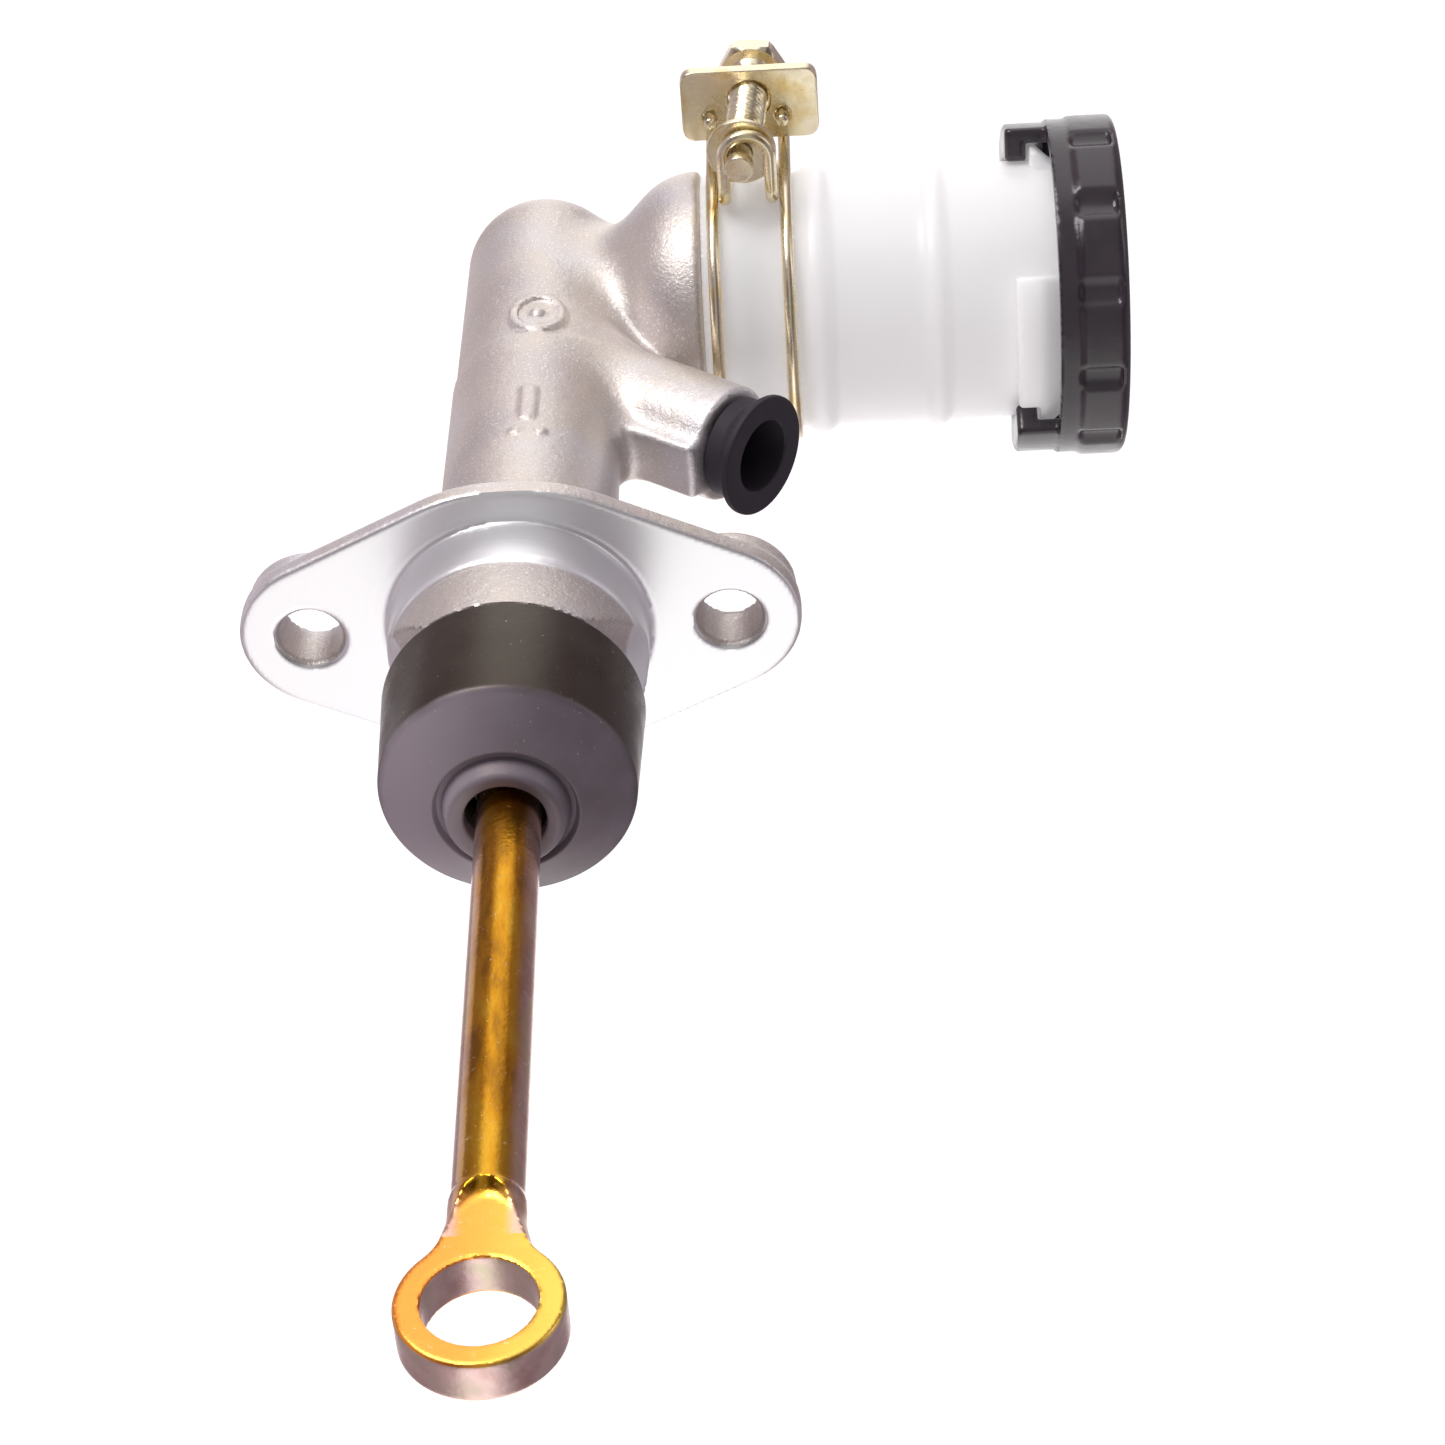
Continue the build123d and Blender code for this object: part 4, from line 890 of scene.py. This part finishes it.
def studio(right, up, ahead):
    """White to the camera; to light and reflections a room bright all round but dim to left and right."""
    world = bpy.data.worlds.new("studio")
    bpy.context.scene.world = world
    world.use_nodes = True
    tree = world.node_tree
    room = tree.nodes["Background"]
    room.inputs["Strength"].default_value = 1.5
    coordinates = tree.nodes.new("ShaderNodeTexCoord").outputs["Generated"]
    facing = tree.nodes.new("ShaderNodeVectorMath")
    facing.operation = "DOT_PRODUCT"
    facing.inputs[1].default_value = right
    tree.links.new(coordinates, facing.inputs[0])
    spread = tree.nodes.new("ShaderNodeMapRange")
    spread.inputs["From Min"].default_value = -1
    tree.links.new(facing.outputs["Value"], spread.inputs["Value"])
    ramp = tree.nodes.new("ShaderNodeValToRGB")
    while len(ramp.color_ramp.elements) < len(ROOM_STOPS):
        ramp.color_ramp.elements.new(0.5)
    for element, (position, colour) in zip(ramp.color_ramp.elements, ROOM_STOPS):
        element.position = position
        element.color = rgb(*colour)
    tree.links.new(spread.outputs["Result"], ramp.inputs["Fac"])
    behind = tree.nodes.new("ShaderNodeVectorMath")
    behind.operation = "DOT_PRODUCT"
    behind.inputs[1].default_value = -ahead
    tree.links.new(coordinates, behind.inputs[0])
    shade = tree.nodes.new("ShaderNodeMapRange")
    shade.inputs["From Min"].default_value = 0.45
    shade.inputs["From Max"].default_value = 0.8
    shade.inputs["To Min"].default_value = 1.0
    shade.inputs["To Max"].default_value = 0.3
    tree.links.new(behind.outputs["Value"], shade.inputs["Value"])
    dimmed = tree.nodes.new("ShaderNodeVectorMath")
    dimmed.operation = "SCALE"
    tree.links.new(ramp.outputs["Color"], dimmed.inputs[0])
    tree.links.new(shade.outputs["Result"], dimmed.inputs["Scale"])
    tree.links.new(dimmed.outputs["Vector"], room.inputs["Color"])
    seen = tree.nodes.new("ShaderNodeBackground")
    seen.inputs["Color"].default_value = rgb(1, 1, 1)
    seen.inputs["Strength"].default_value = 1.05
    path = tree.nodes.new("ShaderNodeLightPath")
    mix = tree.nodes.new("ShaderNodeMixShader")
    tree.links.new(path.outputs["Is Camera Ray"], mix.inputs[0])
    tree.links.new(room.outputs[0], mix.inputs[1])
    tree.links.new(seen.outputs[0], mix.inputs[2])
    tree.links.new(mix.outputs[0], tree.nodes["World Output"].inputs[0])
    target = Vector((0, 20, 20)) * MM
    softbox("key", up * 0.9 - right * 0.55 - ahead * 0.7, 0.8, (0.4, 0.4), 3.6, target)
    softbox("rim", -right * 0.87 + ahead * 0.5 + up * 0.2, 0.8, (0.35, 0.7), 0.3, target)
    softbox("fill", right * 1.0 - ahead * 0.4 + up * 0.5, 0.9, (0.3, 0.6), 0.5, target)


def floor():
    """A pale floor under the part, so bright that it meets the white background without an edge."""
    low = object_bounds()[0][2] - 2 * MM
    half = 12.0
    points = [(-half, -half, low), (half, -half, low), (half, half, low), (-half, half, low)]
    piece = mesh_object("floor", np.array(points) / MM, [(0, 1, 2, 3)])
    look = Look("pale_floor", Roughness=0.9, Specular_IOR_Level=0.0)
    grain = look.ramp(look.noise(40, 2), (0.4, 0.80), (0.6, 0.84))
    seen = look.add("LightPath").outputs["Is Camera Ray"]
    glow = look.maths("MULTIPLY", seen, 0.85)
    look.finish(Base_Color=grain, Emission_Color=rgb(1, 1, 1), Emission_Strength=glow)
    piece.data.materials.append(look.material)
    for ray in ("diffuse", "glossy", "transmission", "shadow"):
        setattr(piece, "visible_" + ray, False)  # so light reaches the part from below as well
    piece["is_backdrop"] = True


studio(*set_camera())
floor()
bpy.context.scene.view_settings.view_transform = "Standard"
